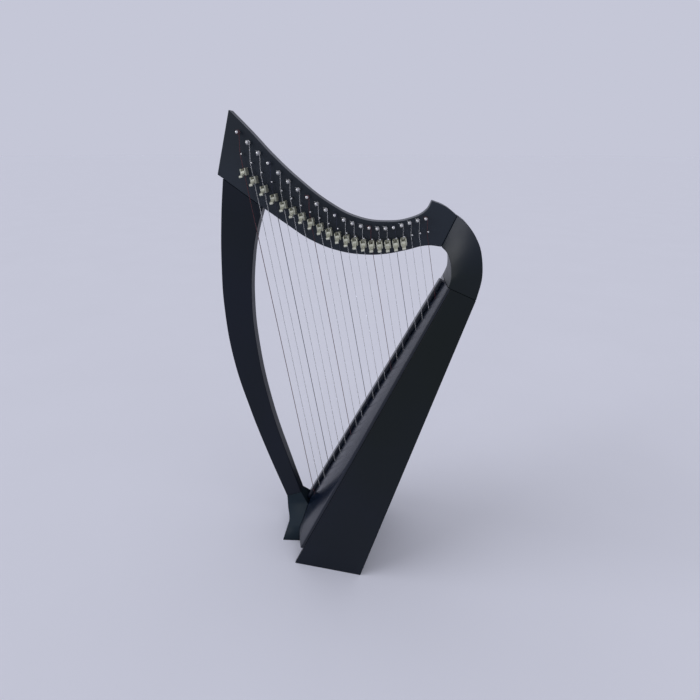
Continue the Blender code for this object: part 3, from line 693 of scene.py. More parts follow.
def nylon(name, colour, clearness):
    """Drawn nylon: faintly uneven in colour, and glossier in some stretches."""
    made, nodes, shader = tree(name, Transmission_Weight=clearness, IOR=1.53)
    share = ranged(nodes, noise(nodes, 90.0, 2.0), 0.3, 0.7, 0.0, 1.0)
    deep = [channel * 0.78 for channel in colour]
    nodes.links.new(mixed(nodes, share, colour, deep), shader.inputs["Base Color"])
    nodes.links.new(ranged(nodes, share, 0.0, 1.0, 0.18, 0.32), shader.inputs["Roughness"])
    return made


def nylons():
    """The clear, the red and the blue finish."""
    return (
        known("clear_nylon", lambda name: nylon(name, colours().clear, 0.7)),
        known("red_nylon", lambda name: nylon(name, colours().red, 0.15)),
        known("blue_nylon", lambda name: nylon(name, colours().blue, 0.0)),
    )


def spruce(name):
    """Bare spruce: narrow late-wood lines along the grain, and broad paler bands."""
    made, nodes, shader = tree(name, Specular_IOR_Level=0.3)
    grain = noise(nodes, 210.0, 5.0, (0.05, 1.0, 0.05), 0.6)
    bands = noise(nodes, 24.0, 2.0, (0.1, 1.0, 0.1))
    pale = mixed(nodes, bands, [c * 1.12 for c in colours().spruce], colours().spruce)
    lines = ranged(nodes, grain, 0.5, 0.66, 0.0, 0.6)
    late = [c * 0.55 for c in colours().spruce]
    nodes.links.new(mixed(nodes, lines, pale, late), shader.inputs["Base Color"])
    nodes.links.new(ranged(nodes, grain, 0.3, 0.7, 0.5, 0.72), shader.inputs["Roughness"])
    bumped(nodes, shader, grain, 0.0002, 0.4)
    return made


def foot_black():
    """Foot, dulled by dust and knocks."""
    return known("foot_lacquer", lambda name: lacquer(name, colours().foot, 0.10, DULL, (0.5, 1.2)))


def knee_highlight_black():
    """Shoulder, a lighter and bluer copy of the lacquer near the neck that turns greener where it meets the
    box: a painted highlight standing in for the soft reflection on it.
    """
    return known("knee_lacquer", lambda name: lacquer(name, colours().knee, 0.26, SATIN, (0.70, 0.61)))


def black():
    """Column and base."""
    return known("black_lacquer", lambda name: lacquer(name, colours().lacquer, 0.22, SATIN, (0.5, 1.2)))


def box_black():
    """Sides and back, turning greener from near the floor up to 0.3 m: a painted reflection."""
    return known("box_lacquer", lambda name: lacquer(name, colours().lacquer, 0.24, SATIN, (0.04, 0.30)))


def board_black():
    """Soundboard and rib, polished more than the rest."""
    return known("board_lacquer", lambda name: lacquer(name, colours().lacquer, 0.42, POLISHED, (0.6, 1.2)))


def neck_lit_black():
    """Neck, in a lighter, greyer copy of the lacquer: painted light that stands in for the brighter light
    on the neck.
    """
    return known("neck_lacquer", lambda name: lacquer(name, colours().neck_painted_light, 0.28, SATIN, (0.5, 1.6)))


def bare():
    """Bare wood inside the box, with its grain along the board."""
    return known("bare_spruce", spruce)


def crowned_section(lifts, radius, columns):
    """A rectangle with rounded corners, as rows of a, b and lift. A point's y is a
    times the half width less the radius, plus b, so that it suits every width."""
    low, high = lifts
    corners = (
        (1, low + radius, -0.5), (1, high - radius, 0.0),
        (-1, high - radius, 0.5), (-1, low + radius, 1.0),
    )
    parts = []
    for number, (side, lift, start) in enumerate(corners):
        angle = np.linspace(start * math.pi, (start + 0.5) * math.pi, CORNER_POINTS)
        a = np.full(CORNER_POINTS, side)
        parts.append(np.stack((a, radius * np.cos(angle), lift + radius * np.sin(angle)), -1))
        if number in (1, 3):
            run = np.linspace(side, -side, columns + 1)[1:-1]
            flat = high if number == 1 else low
            parts.append(np.stack((run, np.zeros(len(run)), np.full(len(run), flat)), -1))
    return np.concatenate(parts)


def crowned_strip(half_at, middle, lifts, ends, radius, rows, columns):
    """A layer that follows the soundboard's crown: the rounded section carried from
    its lower end to its upper end. ends(y, lift) gives both places up the board."""
    a, b, lift = crowned_section(lifts, radius, columns).T
    share = np.linspace(0, 1, rows + 1)[:, None]
    y = np.zeros((rows + 1, len(a)))
    for _ in range(6):
        low, high = ends(y, lift)
        s = low + (high - low) * share
        y = middle + a * (half_at(s) - radius) + b
    return swept(at(s, y, crown(s, y) + lift))


class HARP_OT_neck(bpy.types.Operator):
    """Make the neck, a flat board with softened edges"""

    bl_idname = "harp.neck"
    bl_label = "Neck"

    def execute(self, context):
        made = Shape().add(*board(drawn_outline(NECK_OUTLINE), NECK_HALF))
        bevelled(made.make("neck_board", [neck_lit_black()], "harp", "lacquer", "neck"), sizes().board_edge)
        return {"FINISHED"}


class HARP_OT_column(bpy.types.Operator):
    """Make the curved column between the neck and the foot"""

    bl_idname = "harp.column"
    bl_label = "Column"

    def execute(self, context):
        points = [list(point) for point in COLUMN_OUTLINE]
        step = joint_clearance(points[0], points[-1])
        for end in (points[0], points[-1]):
            end[0] += step[0]
            end[1] += step[1]
        made = Shape().add(*board(drawn_outline(points), NECK_HALF))
        bevelled(made.make("column_board", [black()], "harp", "lacquer", "column"), sizes().board_edge)
        return {"FINISHED"}


class HARP_OT_shoulder(bpy.types.Operator):
    """Make the shoulder that flares from the neck to the top of the soundbox"""

    bl_idname = "harp.shoulder"
    bl_label = "Shoulder"

    def execute(self, context):
        seat = BOARD_LENGTH + GAP
        step = joint_clearance(SHOULDER_INNER[0], SHOULDER_OUTER[0])
        low, high = at(seat, 0.0, np.array((0.0, -box_depth(seat))))[:, ::2] - (FLOOR_LINE, 0.0)
        inner = (*SHOULDER_INNER, SHOULDER_ENDS[0], low)
        outer = (*SHOULDER_OUTER, SHOULDER_ENDS[1], high)

        def flare(u, v, w):
            """u runs from the neck to the box, v across and w from the outer to the
            inner edge. The width grows as the sine of u's quarter turn, and the
            inner face rises to the soundboard's crown."""
            across = 2 * v - 1
            edge = smooth(outer, u) + (smooth(inner, u) - smooth(outer, u)) * w[:, None]
            half = between((NECK_HALF, half_width(seat)), np.sin(u * math.pi / 2))
            rise = crown(seat, 0.0) * u * w * (1 - across**2)
            fade = (1 - u) ** SHOULDER_JOINT_FADE
            x = FLOOR_LINE + edge[:, 0] + step[0] * fade - rise * math.sin(BOARD_TILT)
            z = edge[:, 1] + step[1] * fade + rise * math.cos(BOARD_TILT)
            return np.stack((x, across * half, z), -1)

        def tenon(u, v, w):
            """A block between the sides, the soundboard and the back, u along it."""
            s = BOARD_LENGTH - TENON_DEPTH * (1 - u)
            eta = between((-box_depth(s) + BACK_THICKNESS + GAP, -BOARD_THICKNESS - GAP), w)
            return at(s, (2 * v - 1) * inner_half(s), eta)

        points, faces, _ = lattice(flare, (44, 24, 8))
        made = Shape().add(points, faces)
        made = made.make("shoulder", [knee_highlight_black()], "harp", "lacquer", "shoulder_block")
        bevelled(made, sizes().block_edge)
        points, faces, _ = lattice(tenon, (1, 1, 1))
        inside = Shape().add(points, faces)
        bevelled(inside.make("shoulder_tenon", [bare()], "harp", "bare_wood", "shoulder_block"), GAP)
        return {"FINISHED"}


class HARP_OT_foot(bpy.types.Operator):
    """Make the bell-shaped foot between the column, the floor and the soundboard"""

    bl_idname = "harp.foot"
    bl_label = "Foot"

    def execute(self, context):
        step = joint_clearance(FOOT_FRONT[0], FOOT_REAR_TOP)
        first, heel = FOOT_SHARES

        def rear(u, across):
            """Points of the inner face: down the joint with the column, along the
            crowned soundboard to its lower edge, and straight down to the floor."""
            share = np.clip((u - first) / (heel - first), 0, 1)
            flare = 1 - (1 - np.minimum(u / heel, 1)) ** FOOT_REAR_FLARE
            y = across * between((NECK_HALF, FOOT_REAR_HALF), flare)
            s = between((FOOT_TOP_PLACE, place_at_height(BASE_HEIGHT, y, GAP)), share)
            found = at(s, y, crown(s, y) + GAP)
            found[:, 2] *= np.minimum((1 - u) / (1 - heel), 1)
            return found

        def bell(u, v, w):
            """u runs down, v across and w from the front edge to the inner face. The
            front widens as a power of how far it has come down."""
            across = 2 * v - 1
            edge = smooth(FOOT_FRONT, u)
            flare = np.clip(1 - edge[:, 1] / FOOT_FRONT[0][1], 0, 1) ** FOOT_FRONT_FLARE
            half = between((NECK_HALF, FOOT_FRONT_HALF), flare)
            fade = 1 - u
            x = FLOOR_LINE + edge[:, 0] + step[0] * fade
            front = np.stack((x, across * half, edge[:, 1] + step[1] * fade), -1)
            top = np.stack((
                np.full(len(u), FLOOR_LINE + FOOT_REAR_TOP[0] + step[0]),
                across * NECK_HALF,
                np.full(len(u), FOOT_REAR_TOP[1] + step[1]),
            ), -1)
            share = np.clip(u / first, 0, 1)[:, None]
            back = top + (rear(np.maximum(u, first), across) - top) * share
            return front + (back - front) * w[:, None]

        points, faces, _ = lattice(bell, (40, 24, 8))
        made = Shape().add(points, faces)
        bevelled(made.make("foot", [foot_black()], "harp", "lacquer", "foot_block"), sizes().block_edge)
        return {"FINISHED"}


class HARP_OT_soundbox(bpy.types.Operator):
    """Make the soundboard with its rib, the sides and the back with its sound holes"""

    bl_idname = "harp.soundbox"
    bl_label = "Soundbox"

    def execute(self, context):
        self.soundboard()
        self.rib()
        for name, side in (("left", -1), ("right", 1)):
            self.side(name, side)
        self.back()
        for node in ("base_board", "back_brace_1", "back_brace_2"):
            mesh = frame["nodes"][node].data
            mesh.materials.clear()
            mesh.materials.append(black() if node == "base_board" else bare())
        return {"FINISHED"}

    def soundboard(self):
        """The crowned board, bare underneath, with a hole for each string."""
        points, faces = crowned_strip(
            half_width, 0.0, (-BOARD_THICKNESS, 0.0),
            lambda y, lift: (place_at_height(BASE_HEIGHT, y, lift), BOARD_LENGTH),
            sizes().box_edge, 60, 40)
        finish = self.underside(points, -BOARD_THICKNESS)
        made = Shape().add(points, faces, finish)
        made = made.make("soundboard_face", [board_black(), bare()], "harp", "lacquer", "soundboard")
        _, foot, up, _, _ = string_table()
        holes = Shape()
        for point, direction in zip(foot, up):
            reach = direction * BOARD_THICKNESS * 3
            holes.add(*tube((point - reach, point, point + reach), STRING_HOLE_RADIUS, 16))
        cut(made, holes)

    def underside(self, points, low):
        """Which faces of the soundboard are bare wood: those between points that all
        lie on its lower surface, between the sides. The caps come last, lacquered."""
        x = points[..., 0] - FLOOR_LINE
        y, z = points[..., 1], points[..., 2]
        s = x * math.cos(BOARD_TILT) + z * math.sin(BOARD_TILT)
        lift = z * math.cos(BOARD_TILT) - x * math.sin(BOARD_TILT) - crown(s, y)
        flat = np.isclose(lift, low, atol=GAP / 30) & (np.abs(y) < inner_half(s))
        bare_side = flat[:-1] & flat[1:] & np.roll(flat, -1, axis=1)[:-1]
        return np.append(bare_side.ravel(), (0, 0)).astype(int)

    def rib(self):
        """The strip along the board's middle, cut at its foot to the slope of the
        joint there: the place of its end changes evenly with the lift."""
        x, z = FOOT_REAR_TOP
        heel = x * math.cos(BOARD_TILT) + z * math.sin(BOARD_TILT)
        rise = z * math.cos(BOARD_TILT) - x * math.sin(BOARD_TILT) - crown(FOOT_TOP_PLACE, 0.0)

        def ends(y, lift):
            low = FOOT_TOP_PLACE + (heel - FOOT_TOP_PLACE) * lift / rise + 2 * GAP
            return low, BOARD_LENGTH - RIB_END_MARGIN

        points, faces = crowned_strip(
            lambda s: RIB_WIDTH / 2, 0.0, (GAP, RIB_HEIGHT), ends, sizes().box_edge, 60, 6)
        made = Shape().add(points, faces)
        made.make("string_rib_cap", [board_black()], "harp", "lacquer", "string_rib")

    def side(self, name, side):
        """A flat board that narrows upwards, as the box does, and stands on the floor."""

        def panel(u, v, w):
            """u runs up, v from the back to the soundboard and w inwards. The box's
            depth depends on the place, so the sum is repeated until it settles."""
            s = np.full(len(u), BOARD_LENGTH)
            for _ in range(12):
                eta = between((-box_depth(s), -BOARD_THICKNESS - GAP), v)
                s = between((-eta / math.tan(BOARD_TILT), BOARD_LENGTH), u)
            return at(s, side * (half_width(s) - SIDE_THICKNESS * w), eta)

        points, faces, _ = lattice(panel, (1, 1, 1))
        made = Shape().add(points, faces)
        made = made.make(f"side_{name}", [box_black()], "harp", "lacquer", f"soundbox_side_{name}")
        bevelled(made, sizes().box_edge)

    def back(self):
        """A flat board between the sides, with its round sound holes cut through."""

        def panel(u, v, w):
            """u runs up, v across and w inwards. The box's depth depends on the place,
            so the sum is repeated until it settles."""
            s = np.full(len(u), BOARD_LENGTH)
            for _ in range(12):
                eta = -box_depth(s) + BACK_THICKNESS * w
                low = (BASE_HEIGHT - eta * math.cos(BOARD_TILT)) / math.sin(BOARD_TILT)
                s = between((low, BOARD_LENGTH), u)
            return at(s, (2 * v - 1) * inner_half(s), eta)

        points, faces, numbers = lattice(panel, (1, 1, 1))
        made = Shape().add(points, faces, (numbers == 5).astype(int))
        made = made.make("back_panel", [box_black(), bare()], "harp", "lacquer", "soundbox_back")
        holes = Shape()
        for s, radius in SOUND_HOLES:
            middle = at(s, 0.0, -box_depth(s))
            along = unit(at(s + radius, 0.0, -box_depth(s + radius)) - middle)
            out = np.cross(along, (0.0, 1.0, 0.0))
            angle = np.linspace(0, 2 * math.pi, 96, endpoint=False)[:, None]
            ring = middle + radius * (np.cos(angle) * along + np.sin(angle) * np.array((0.0, 1.0, 0.0)))
            holes.add(*swept(np.stack([ring + out * BACK_THICKNESS * end for end in (-3, 3)])))
        bevelled(cut(made, holes), sizes().box_edge)


class HARP_OT_strings(bpy.types.Operator):
    """Make the strings from their knots to the tuning pins, and the strip that holds them"""

    bl_idname = "harp.strings"
    bl_label = "Strings"

    def execute(self, context):
        radius, foot, up, top, tuning = string_table()
        square = np.array((-math.sin(BOARD_TILT), 0.0, math.cos(BOARD_TILT)))
        finishes = nylons()
        shapes = {finish: Shape() for finish in finishes}
        for i in range(STRINGS):
            depth = (BOARD_THICKNESS + ANCHOR_THICKNESS + 2 * GAP) / up[i].dot(square)
            end = tuning[i] + (PIN_RADIUS + radius[i], top[i][1], 0.0)
            rise = unit(end - top[i])
            # Straight to the bridge pin, a quadratic bend round it, straight to the coil
            bend = np.linspace(0, 1, 7)[:, None]
            low = top[i] - up[i] * BRIDGE_BEND
            high = top[i] + rise * BRIDGE_BEND
            curve = (1 - bend) ** 2 * low + 2 * bend * (1 - bend) * top[i] + bend**2 * high
            run = np.linspace(0, 1, 9)[:-1, None]
            start = foot[i] - up[i] * depth
            path = np.concatenate((start + (low - start) * run, curve, [end]))
            shape = shapes[string_finish(i, finishes)]
            shape.add(*tube(path, radius[i]))
            shape.add(*self.knot(start - up[i] * radius[i] * 2, radius[i]))
        for finish, shape in shapes.items():
            shape.make("strings_" + finish.name.split("_")[0], [finish], "harp", "string", "strings")
        self.anchor()
        return {"FINISHED"}

    def knot(self, middle, radius):
        """A knot below the strip: a closed trefoil that goes round twice. Its radius
        and its depth swing as the cosine and the sine of one and a half times the angle."""
        angle = np.linspace(0, 4 * math.pi, KNOT_POINTS)
        spread = radius * (KNOT_RADIUS + KNOT_SWING * np.cos(1.5 * angle))
        depth = KNOT_DEPTH * radius * np.sin(1.5 * angle)
        path = np.stack((spread * np.cos(angle), depth, spread * np.sin(angle)), -1)
        return tube(path + middle, radius, 6)

    def anchor(self):
        """The strip under the soundboard that the knots pull against."""
        middle = -(NECK_HALF + STANDOFF)
        ends = (FIRST_STRING - ANCHOR_OVERHANG, BOARD_LENGTH - TENON_DEPTH - GAP)
        upper = -BOARD_THICKNESS - GAP
        points, faces = crowned_strip(
            lambda s: ANCHOR_WIDTH / 2, middle, (upper - ANCHOR_THICKNESS, upper),
            lambda y, lift: ends, GAP * 2, 40, 4)
        Shape().add(points, faces).make("anchor_strip", [bare()], "harp", "bare_wood", "strings")


class HARP_OT_tuning_pins(bpy.types.Operator):
    """Make the tuning pins, each with the coil of its string"""

    bl_idname = "harp.tuning_pins"
    bl_label = "Tuning pins"

    def execute(self, context):
        radius, _, _, top, tuning = string_table()
        for i in range(STRINGS):
            shape = Shape().add(*self.pin(tuning[i]))
            for path in self.coil(tuning[i], top[i][1], radius[i]):
                shape.add(*tube(path, radius[i]), 1)
            finishes = [known("nickel_plate", nickel), string_finish(i, nylons())]
            node = f"tuning_pin_{i + 1:02d}"
            shape.make(f"wound_{node}", finishes, node, "nickel", node)
        return {"FINISHED"}

    def pin(self, middle):
        """Round with a domed near end, and squared at the far end for the key. A high
        power of the cosine plus that of the sine gives the square, with rounded edges."""
        near = -(NECK_HALF + PIN_NEAR)
        far = NECK_HALF + PIN_FAR
        waist = far - PIN_SQUARE_LENGTH
        dome = arc((0.0, 0.0), 1.0, math.pi / 2, 0.12, 8)
        profile = [(PIN_RADIUS * max(a, PIN_TIP), near + PIN_RADIUS * PIN_DOME * (1 - b)) for a, b in dome]
        profile += [(PIN_RADIUS, y) for y in np.linspace(near + PIN_RADIUS * 0.6, waist - PIN_SHOULDER, 6)]
        round_rows = len(profile)
        side = PIN_SQUARE / 2
        profile += [(side, waist), (side, far - PIN_CHAMFER), (side * 0.80, far), (side * 0.02, far)]

        def pressed(angle, row):
            power = np.abs(np.cos(angle)) ** SQUARENESS + np.abs(np.sin(angle)) ** SQUARENESS
            return np.where(row < round_rows, 1.0, power ** (-1 / SQUARENESS))

        return turned(profile, middle, 48, pressed)

    def coil(self, middle, y, radius):
        """The string's turns: one flat turn that it arrives on, then a helix towards
        the neck, and its tail that stands out of the pin."""
        around = PIN_RADIUS + radius
        angle = np.linspace(0, 2 * math.pi * COILED_TURNS, int(COIL_STEPS * COILED_TURNS))
        shift = np.maximum(angle - 2 * math.pi, 0) / (2 * math.pi) * radius * COIL_PITCH
        helix = np.stack((around * np.cos(angle), y + shift, around * np.sin(angle)), -1)
        lead = helix[-1] - (0.0, y + shift[-1], 0.0)
        outward = unit(lead)
        share = np.linspace(TAIL_ROOT, 1, 6)[:, None]
        tail = (0.0, y + shift[-1] + radius * 2, 0.0) + outward * (PIN_RADIUS + STRING_TAIL * share)
        place = (middle[0], 0.0, middle[2])
        return helix + place, tail + place


class HARP_OT_bridge_pins(bpy.types.Operator):
    """Make the grooved pins that the strings bend round at the neck"""

    bl_idname = "harp.bridge_pins"
    bl_label = "Bridge pins"

    def execute(self, context):
        radius, _, up, top, _ = string_table()
        shape = Shape()
        groove = -(NECK_HALF + STANDOFF)
        end = -(NECK_HALF + BRIDGE_PIN_LENGTH)
        # The groove is a parabola in the radius, and the end is domed as an ellipse
        dip = np.linspace(-1, 1, 9)
        waist = [(BRIDGE_PIN_RADIUS - BRIDGE_GROOVE * (1 - d * d), groove - d * BRIDGE_GROOVE_HALF)
                 for d in dip]
        dome = [(BRIDGE_PIN_RADIUS * math.cos(a), end + BRIDGE_PIN_RADIUS * 0.5 * (1 - math.sin(a)))
                for a in np.linspace(0, 1.5, 7)]
        profile = [(BRIDGE_PIN_RADIUS, -NECK_HALF + SEAT), *waist, *dome]
        for i in range(STRINGS):
            side = np.array((up[i][2], 0.0, -up[i][0]))
            middle = top[i] + side * (BRIDGE_PIN_RADIUS + radius[i] + GAP)
            shape.add(*turned(profile, middle, 24))
        shape.make("bridge_pin_row", [known("nickel_plate", nickel)], "harp", "nickel", "neck")
        return {"FINISHED"}


def lever_places():
    """For each lever: the middle of its axle, and the directions across the string,
    out of the neck and up the string."""
    out = np.array((0.0, -1.0, 0.0))
    for number in range(LEVERS):
        joint = JOINTS[f"lever_handle_{number + 1:02d}_swing"]
        across = unit(np.array(joint["axis"], float))
        yield number, np.array(joint["pos_m"]), np.stack((across, out, np.cross(across, out)))


class HARP_OT_lever_brackets(bpy.types.Operator):
    """Make the levers' channel brackets, with their frets and screws"""

    bl_idname = "harp.lever_brackets"
    bl_label = "Lever brackets"

    def execute(self, context):
        parts = (self.channel(), self.fret(), *(self.screw(z) for z in SCREW_PLACES))
        shape = Shape()
        for _, axle, axes in lever_places():
            origin = axle - np.array((0.0, AXLE_STANDOFF, AXLE_OFFSET)) @ axes
            for points, faces in parts:
                shape.add(origin + points.reshape(-1, 3) @ axes, faces)
        made = shape.make("lever_brackets", [known("lever_plate", lever_nickel)], "harp", "nickel", "neck")
        bevelled(made, BRACKET_EDGE, 2)
        return {"FINISHED"}

    def channel(self):
        """Folded sheet: a U section with rounded bends, carried up the string. Its
        walls drop at both ends along a quarter circle, which rounds their ears."""
        inside = BRACKET_HALF - BRACKET_WALL
        bend = BEND_RADIUS
        small = bend * 0.5
        bottom = -SEAT
        quarter = math.pi / 2
        right = np.concatenate((
            arc((BRACKET_HALF - bend, bottom + bend), bend, -quarter, 0, 6),
            [(BRACKET_HALF, BRACKET_DEPTH), (inside, BRACKET_DEPTH)],
            arc((inside - small, BRACKET_FLOOR + small), small, 0, -quarter, 5),
        ))
        section = np.concatenate((right, right[::-1] * (-1, 1)))
        wall = np.isclose(section[:, 1], BRACKET_DEPTH)
        share = np.sin(np.linspace(-quarter, quarter, 15))
        z = BRACKET_LONG - EAR_RADIUS + EAR_RADIUS * np.abs(share)
        z = np.concatenate((-z[:7], z[8:]))
        over = np.abs(z) - (BRACKET_LONG - EAR_RADIUS)
        drop = EAR_RADIUS - np.sqrt(np.maximum(EAR_RADIUS**2 - over**2, 0))
        rings = np.zeros((len(z), len(section), 3))
        rings[..., 0] = section[:, 0]
        rings[..., 1] = section[:, 1] - wall * drop[:, None]
        rings[..., 2] = z[:, None]
        return swept(rings)

    def fret(self):
        """A bar across the channel with a half-round top that the string presses on."""
        half = FRET_THICKNESS / 2
        top = STANDOFF - sizes().bass_radius - GAP
        section = np.concatenate((
            [(BRACKET_FLOOR - SEAT, -half)],
            arc((top - half, 0.0), half, -math.pi / 2, math.pi / 2, 9),
            [(BRACKET_FLOOR - SEAT, half)],
        ))
        reach = BRACKET_HALF - BRACKET_WALL / 2
        rings = np.stack([
            np.column_stack((np.full(len(section), x), section[:, 0], FRET_OFFSET + section[:, 1]))
            for x in (-reach, reach)])
        return swept(rings)

    def screw(self, z):
        """A pan-head screw with a six-sided socket: rings of growing height, then
        rings pressed to a hexagon that go down into the head."""
        angle = np.linspace(0, 2 * math.pi, 24, endpoint=False)
        hexagon = math.cos(math.pi / 6) / np.cos((angle % (math.pi / 3)) - math.pi / 6)
        rows = [(SCREW_RADIUS, 0.0, 0), (SCREW_RADIUS, 0.45, 0), (SCREW_RADIUS * 0.88, 0.8, 0),
                (SCREW_RADIUS * 0.62, 1.0, 0), (SCREW_RADIUS * 0.46, 1.0, 1), (SCREW_RADIUS * 0.44, 0.3, 1)]
        rings = np.zeros((len(rows), len(angle), 3))
        for ring, (radius, lift, pressed) in zip(rings, rows):
            spread = radius * (hexagon if pressed else 1.0)
            ring[:, 0] = spread * np.cos(angle)
            ring[:, 1] = BRACKET_FLOOR - GAP / 3 + SCREW_HEIGHT * lift
            ring[:, 2] = z + spread * np.sin(angle)
        return swept(rings)


class HARP_OT_lever_handles(bpy.types.Operator):
    """Make the lever handles, each with its cam and its riveted axle"""

    bl_idname = "harp.lever_handles"
    bl_label = "Lever handles"

    def execute(self, context):
        parts = (self.handle(), self.axle())
        for number, axle, axes in lever_places():
            shape = Shape()
            for points, faces in parts:
                shape.add(axle + points.reshape(-1, 3) @ axes, faces)
            node = f"lever_handle_{number + 1:02d}"
            made = shape.make(f"swing_{node}", [known("lever_plate", lever_nickel)], node, "nickel", node)
            bevelled(made, HANDLE_EDGE, 2)
        return {"FINISHED"}

    def handle(self):
        """The side view is a cam with a flat, a straight shank and a round end. It is
        as wide as the channel at the cam and narrows a little towards the end."""
        flat = math.acos(CAM_FLAT / CAM_RADIUS)
        stem = math.asin(HANDLE_THICKNESS / 2 / CAM_RADIUS)
        knob = HANDLE_REACH - KNOB_RADIUS
        outline = np.concatenate((
            arc((0.0, 0.0), CAM_RADIUS, stem, math.pi - flat, 16),
            arc((0.0, 0.0), CAM_RADIUS, math.pi + flat, 2 * math.pi - stem, 16),
            arc((knob, 0.0), KNOB_RADIUS, -KNOB_ARC, KNOB_ARC, 18),
        ))
        half = BRACKET_HALF - BRACKET_WALL - GAP
        share = np.clip((outline[:, 0] - CAM_RADIUS) / (knob - CAM_RADIUS), 0, 1)
        wide = half * between((1.0, HANDLE_TAPER), share)
        y = outline[:, 0] * math.cos(DROOP) + outline[:, 1] * math.sin(DROOP)
        z = outline[:, 1] * math.cos(DROOP) - outline[:, 0] * math.sin(DROOP)
        return swept(np.stack([np.column_stack((wide * side, y, z)) for side in (-1, 1)]))

    def axle(self):
        """A rod across the bracket with a domed rivet head at each end: rings whose
        radius grows as they come in from the end, then drops to the rod's."""
        reach = BRACKET_HALF + RIVET_HEIGHT
        rows = [(0.12, reach), (0.62, reach - RIVET_HEIGHT * 0.22), (0.95, reach - RIVET_HEIGHT * 0.65),
                (1.0, BRACKET_HALF - GAP / 3)]
        half = [(RIVET_RADIUS * share, x) for share, x in rows] + [(AXLE_RADIUS, BRACKET_HALF - GAP)]
        profile = [(radius, -x) for radius, x in half] + half[::-1]
        angle = np.linspace(0, 2 * math.pi, 20, endpoint=False)
        rings = np.stack([
            np.column_stack((np.full(len(angle), x), radius * np.cos(angle), radius * np.sin(angle)))
            for radius, x in profile])
        return swept(rings)


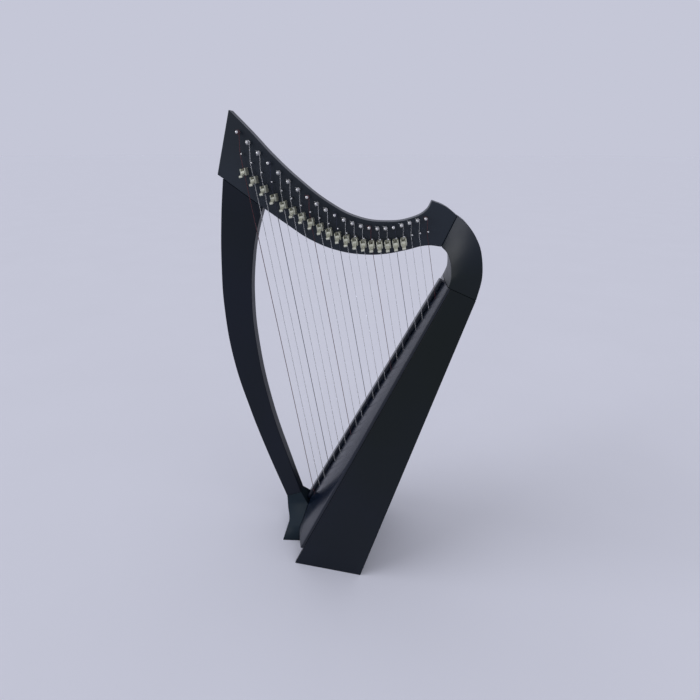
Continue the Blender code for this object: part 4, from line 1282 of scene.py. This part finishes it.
class HARP_OT_stage(bpy.types.Operator):
    """Set the floor, the backdrop, the soft lights and the camera"""

    bl_idname = "harp.stage"
    bl_label = "Stage"

    def execute(self, context):
        self.floor()
        self.world()
        self.key()
        self.camera()
        context.scene.view_settings.view_transform = "Standard"
        return {"FINISHED"}

    def floor(self):
        """A wide flat floor, in rings that grow outwards to the horizon."""
        radius = np.concatenate(([0.02], np.geomspace(1.0, FLOOR_RADIUS, 8)))[:, None]
        angle = np.linspace(0, 2 * math.pi, 48, endpoint=False)
        rings = np.stack(np.broadcast_arrays(radius * np.cos(angle), radius * np.sin(angle), 0.0), -1)
        points, faces = swept(rings)
        mesh = bpy.data.meshes.new("floor")
        mesh.from_pydata(points.reshape(-1, 3), [], [np.asarray(face).tolist() for face in faces[:-1]])
        made = bpy.data.objects.new("floor", mesh)
        bpy.context.scene.collection.objects.link(made)
        material, nodes, shader = tree("pale_floor", Roughness=0.9, Specular_IOR_Level=0.1)
        share = ranged(nodes, noise(nodes, 3.0, 3.0), 0.3, 0.7, 0.0, 1.0)
        pale = colours().floor
        nodes.links.new(mixed(nodes, share, pale, [c * 0.985 for c in pale]), shader.inputs["Base Color"])
        mesh.materials.append(material)

    def world(self):
        """The room's colour to the eye and in reflections, and a plain light on the harp."""
        world = bpy.data.worlds.new("room")
        world.use_nodes = True
        bpy.context.scene.world = world
        nodes = world.node_tree
        lit = nodes.nodes["Background"]
        lit.inputs["Color"].default_value = (1.0, 1.0, 1.0, 1.0)
        lit.inputs["Strength"].default_value = bpy.context.scene.harp_stage.fill
        seen = nodes.nodes.new("ShaderNodeBackground")
        seen.inputs["Color"].default_value = (*colours().room, 1.0)
        path = nodes.nodes.new("ShaderNodeLightPath")
        total = path.outputs["Is Camera Ray"]
        for name in ("Is Glossy Ray", "Is Transmission Ray"):
            both = nodes.nodes.new("ShaderNodeMath")
            both.operation = "ADD"
            both.use_clamp = True
            nodes.links.new(total, both.inputs[0])
            nodes.links.new(path.outputs[name], both.inputs[1])
            total = both.outputs[0]
        mix = nodes.nodes.new("ShaderNodeMixShader")
        nodes.links.new(total, mix.inputs["Fac"])
        nodes.links.new(lit.outputs["Background"], mix.inputs[1])
        nodes.links.new(seen.outputs["Background"], mix.inputs[2])
        nodes.links.new(mix.outputs["Shader"], nodes.nodes["World Output"].inputs["Surface"])

    def key(self):
        """One wide, soft lamp at the column's side."""
        settings = bpy.context.scene.harp_stage
        data = bpy.data.lights.new("key", "SUN")
        data.energy = settings.key
        data.angle = settings.key_width
        made = bpy.data.objects.new("key", data)
        bpy.context.scene.collection.objects.link(made)
        made.location = KEY_SIDE
        made.rotation_euler = (-Vector(KEY_SIDE)).to_track_quat("-Z", "Y").to_euler()

    def camera(self):
        """Where the photograph was taken from. Its middle isn't the picture's, so
        the camera is shifted by what is between them."""
        data = bpy.data.cameras.new("camera")
        data.lens = CAMERA_LENS
        data.shift_x = (PHOTO_SIZE / 2 - PRINCIPAL_POINT[0]) / PHOTO_SIZE
        data.shift_y = (PRINCIPAL_POINT[1] - PHOTO_SIZE / 2) / PHOTO_SIZE
        made = bpy.data.objects.new("camera", data)
        bpy.context.scene.collection.objects.link(made)
        made.location = CAMERA_PLACE
        made.rotation_euler = (math.pi / 2 - CAMERA_PITCH, 0.0, -CAMERA_YAW)
        bpy.context.scene.camera = made


PIECES = (
    HARP_OT_neck,
    HARP_OT_column,
    HARP_OT_shoulder,
    HARP_OT_foot,
    HARP_OT_soundbox,
    HARP_OT_strings,
    HARP_OT_tuning_pins,
    HARP_OT_bridge_pins,
    HARP_OT_lever_brackets,
    HARP_OT_lever_handles,
    HARP_OT_stage,
)


class HARP_PT_panel(bpy.types.Panel):
    """Lists the harp's sizes, colours and pieces"""

    bl_label = "Lever Harp"
    bl_idname = "HARP_PT_panel"
    bl_space_type = "VIEW_3D"
    bl_region_type = "UI"
    bl_category = "Harp"

    def draw(self, context):
        layout = self.layout
        for group in (context.scene.harp_sizes, context.scene.harp_colours, context.scene.harp_stage):
            column = layout.column(align=True)
            for name in group.__annotations__:
                column.prop(group, name)
        column = layout.column(align=True)
        for piece in PIECES:
            column.operator(piece.bl_idname)


CLASSES = (HarpSizes, HarpColours, HarpStage, *PIECES, HARP_PT_panel)


def register():
    for made in CLASSES:
        bpy.utils.register_class(made)
    bpy.types.Scene.harp_sizes = bpy.props.PointerProperty(type=HarpSizes)
    bpy.types.Scene.harp_colours = bpy.props.PointerProperty(type=HarpColours)
    bpy.types.Scene.harp_stage = bpy.props.PointerProperty(type=HarpStage)


def unregister():
    del bpy.types.Scene.harp_stage
    del bpy.types.Scene.harp_colours
    del bpy.types.Scene.harp_sizes
    for made in reversed(CLASSES):
        bpy.utils.unregister_class(made)


def main():
    """Makes every piece in order."""
    register()
    bpy.ops.harp.neck()
    bpy.ops.harp.column()
    bpy.ops.harp.shoulder()
    bpy.ops.harp.foot()
    bpy.ops.harp.soundbox()
    bpy.ops.harp.strings()
    bpy.ops.harp.tuning_pins()
    bpy.ops.harp.bridge_pins()
    bpy.ops.harp.lever_brackets()
    bpy.ops.harp.lever_handles()
    bpy.ops.harp.stage()


if __name__ == "__main__":
    main()
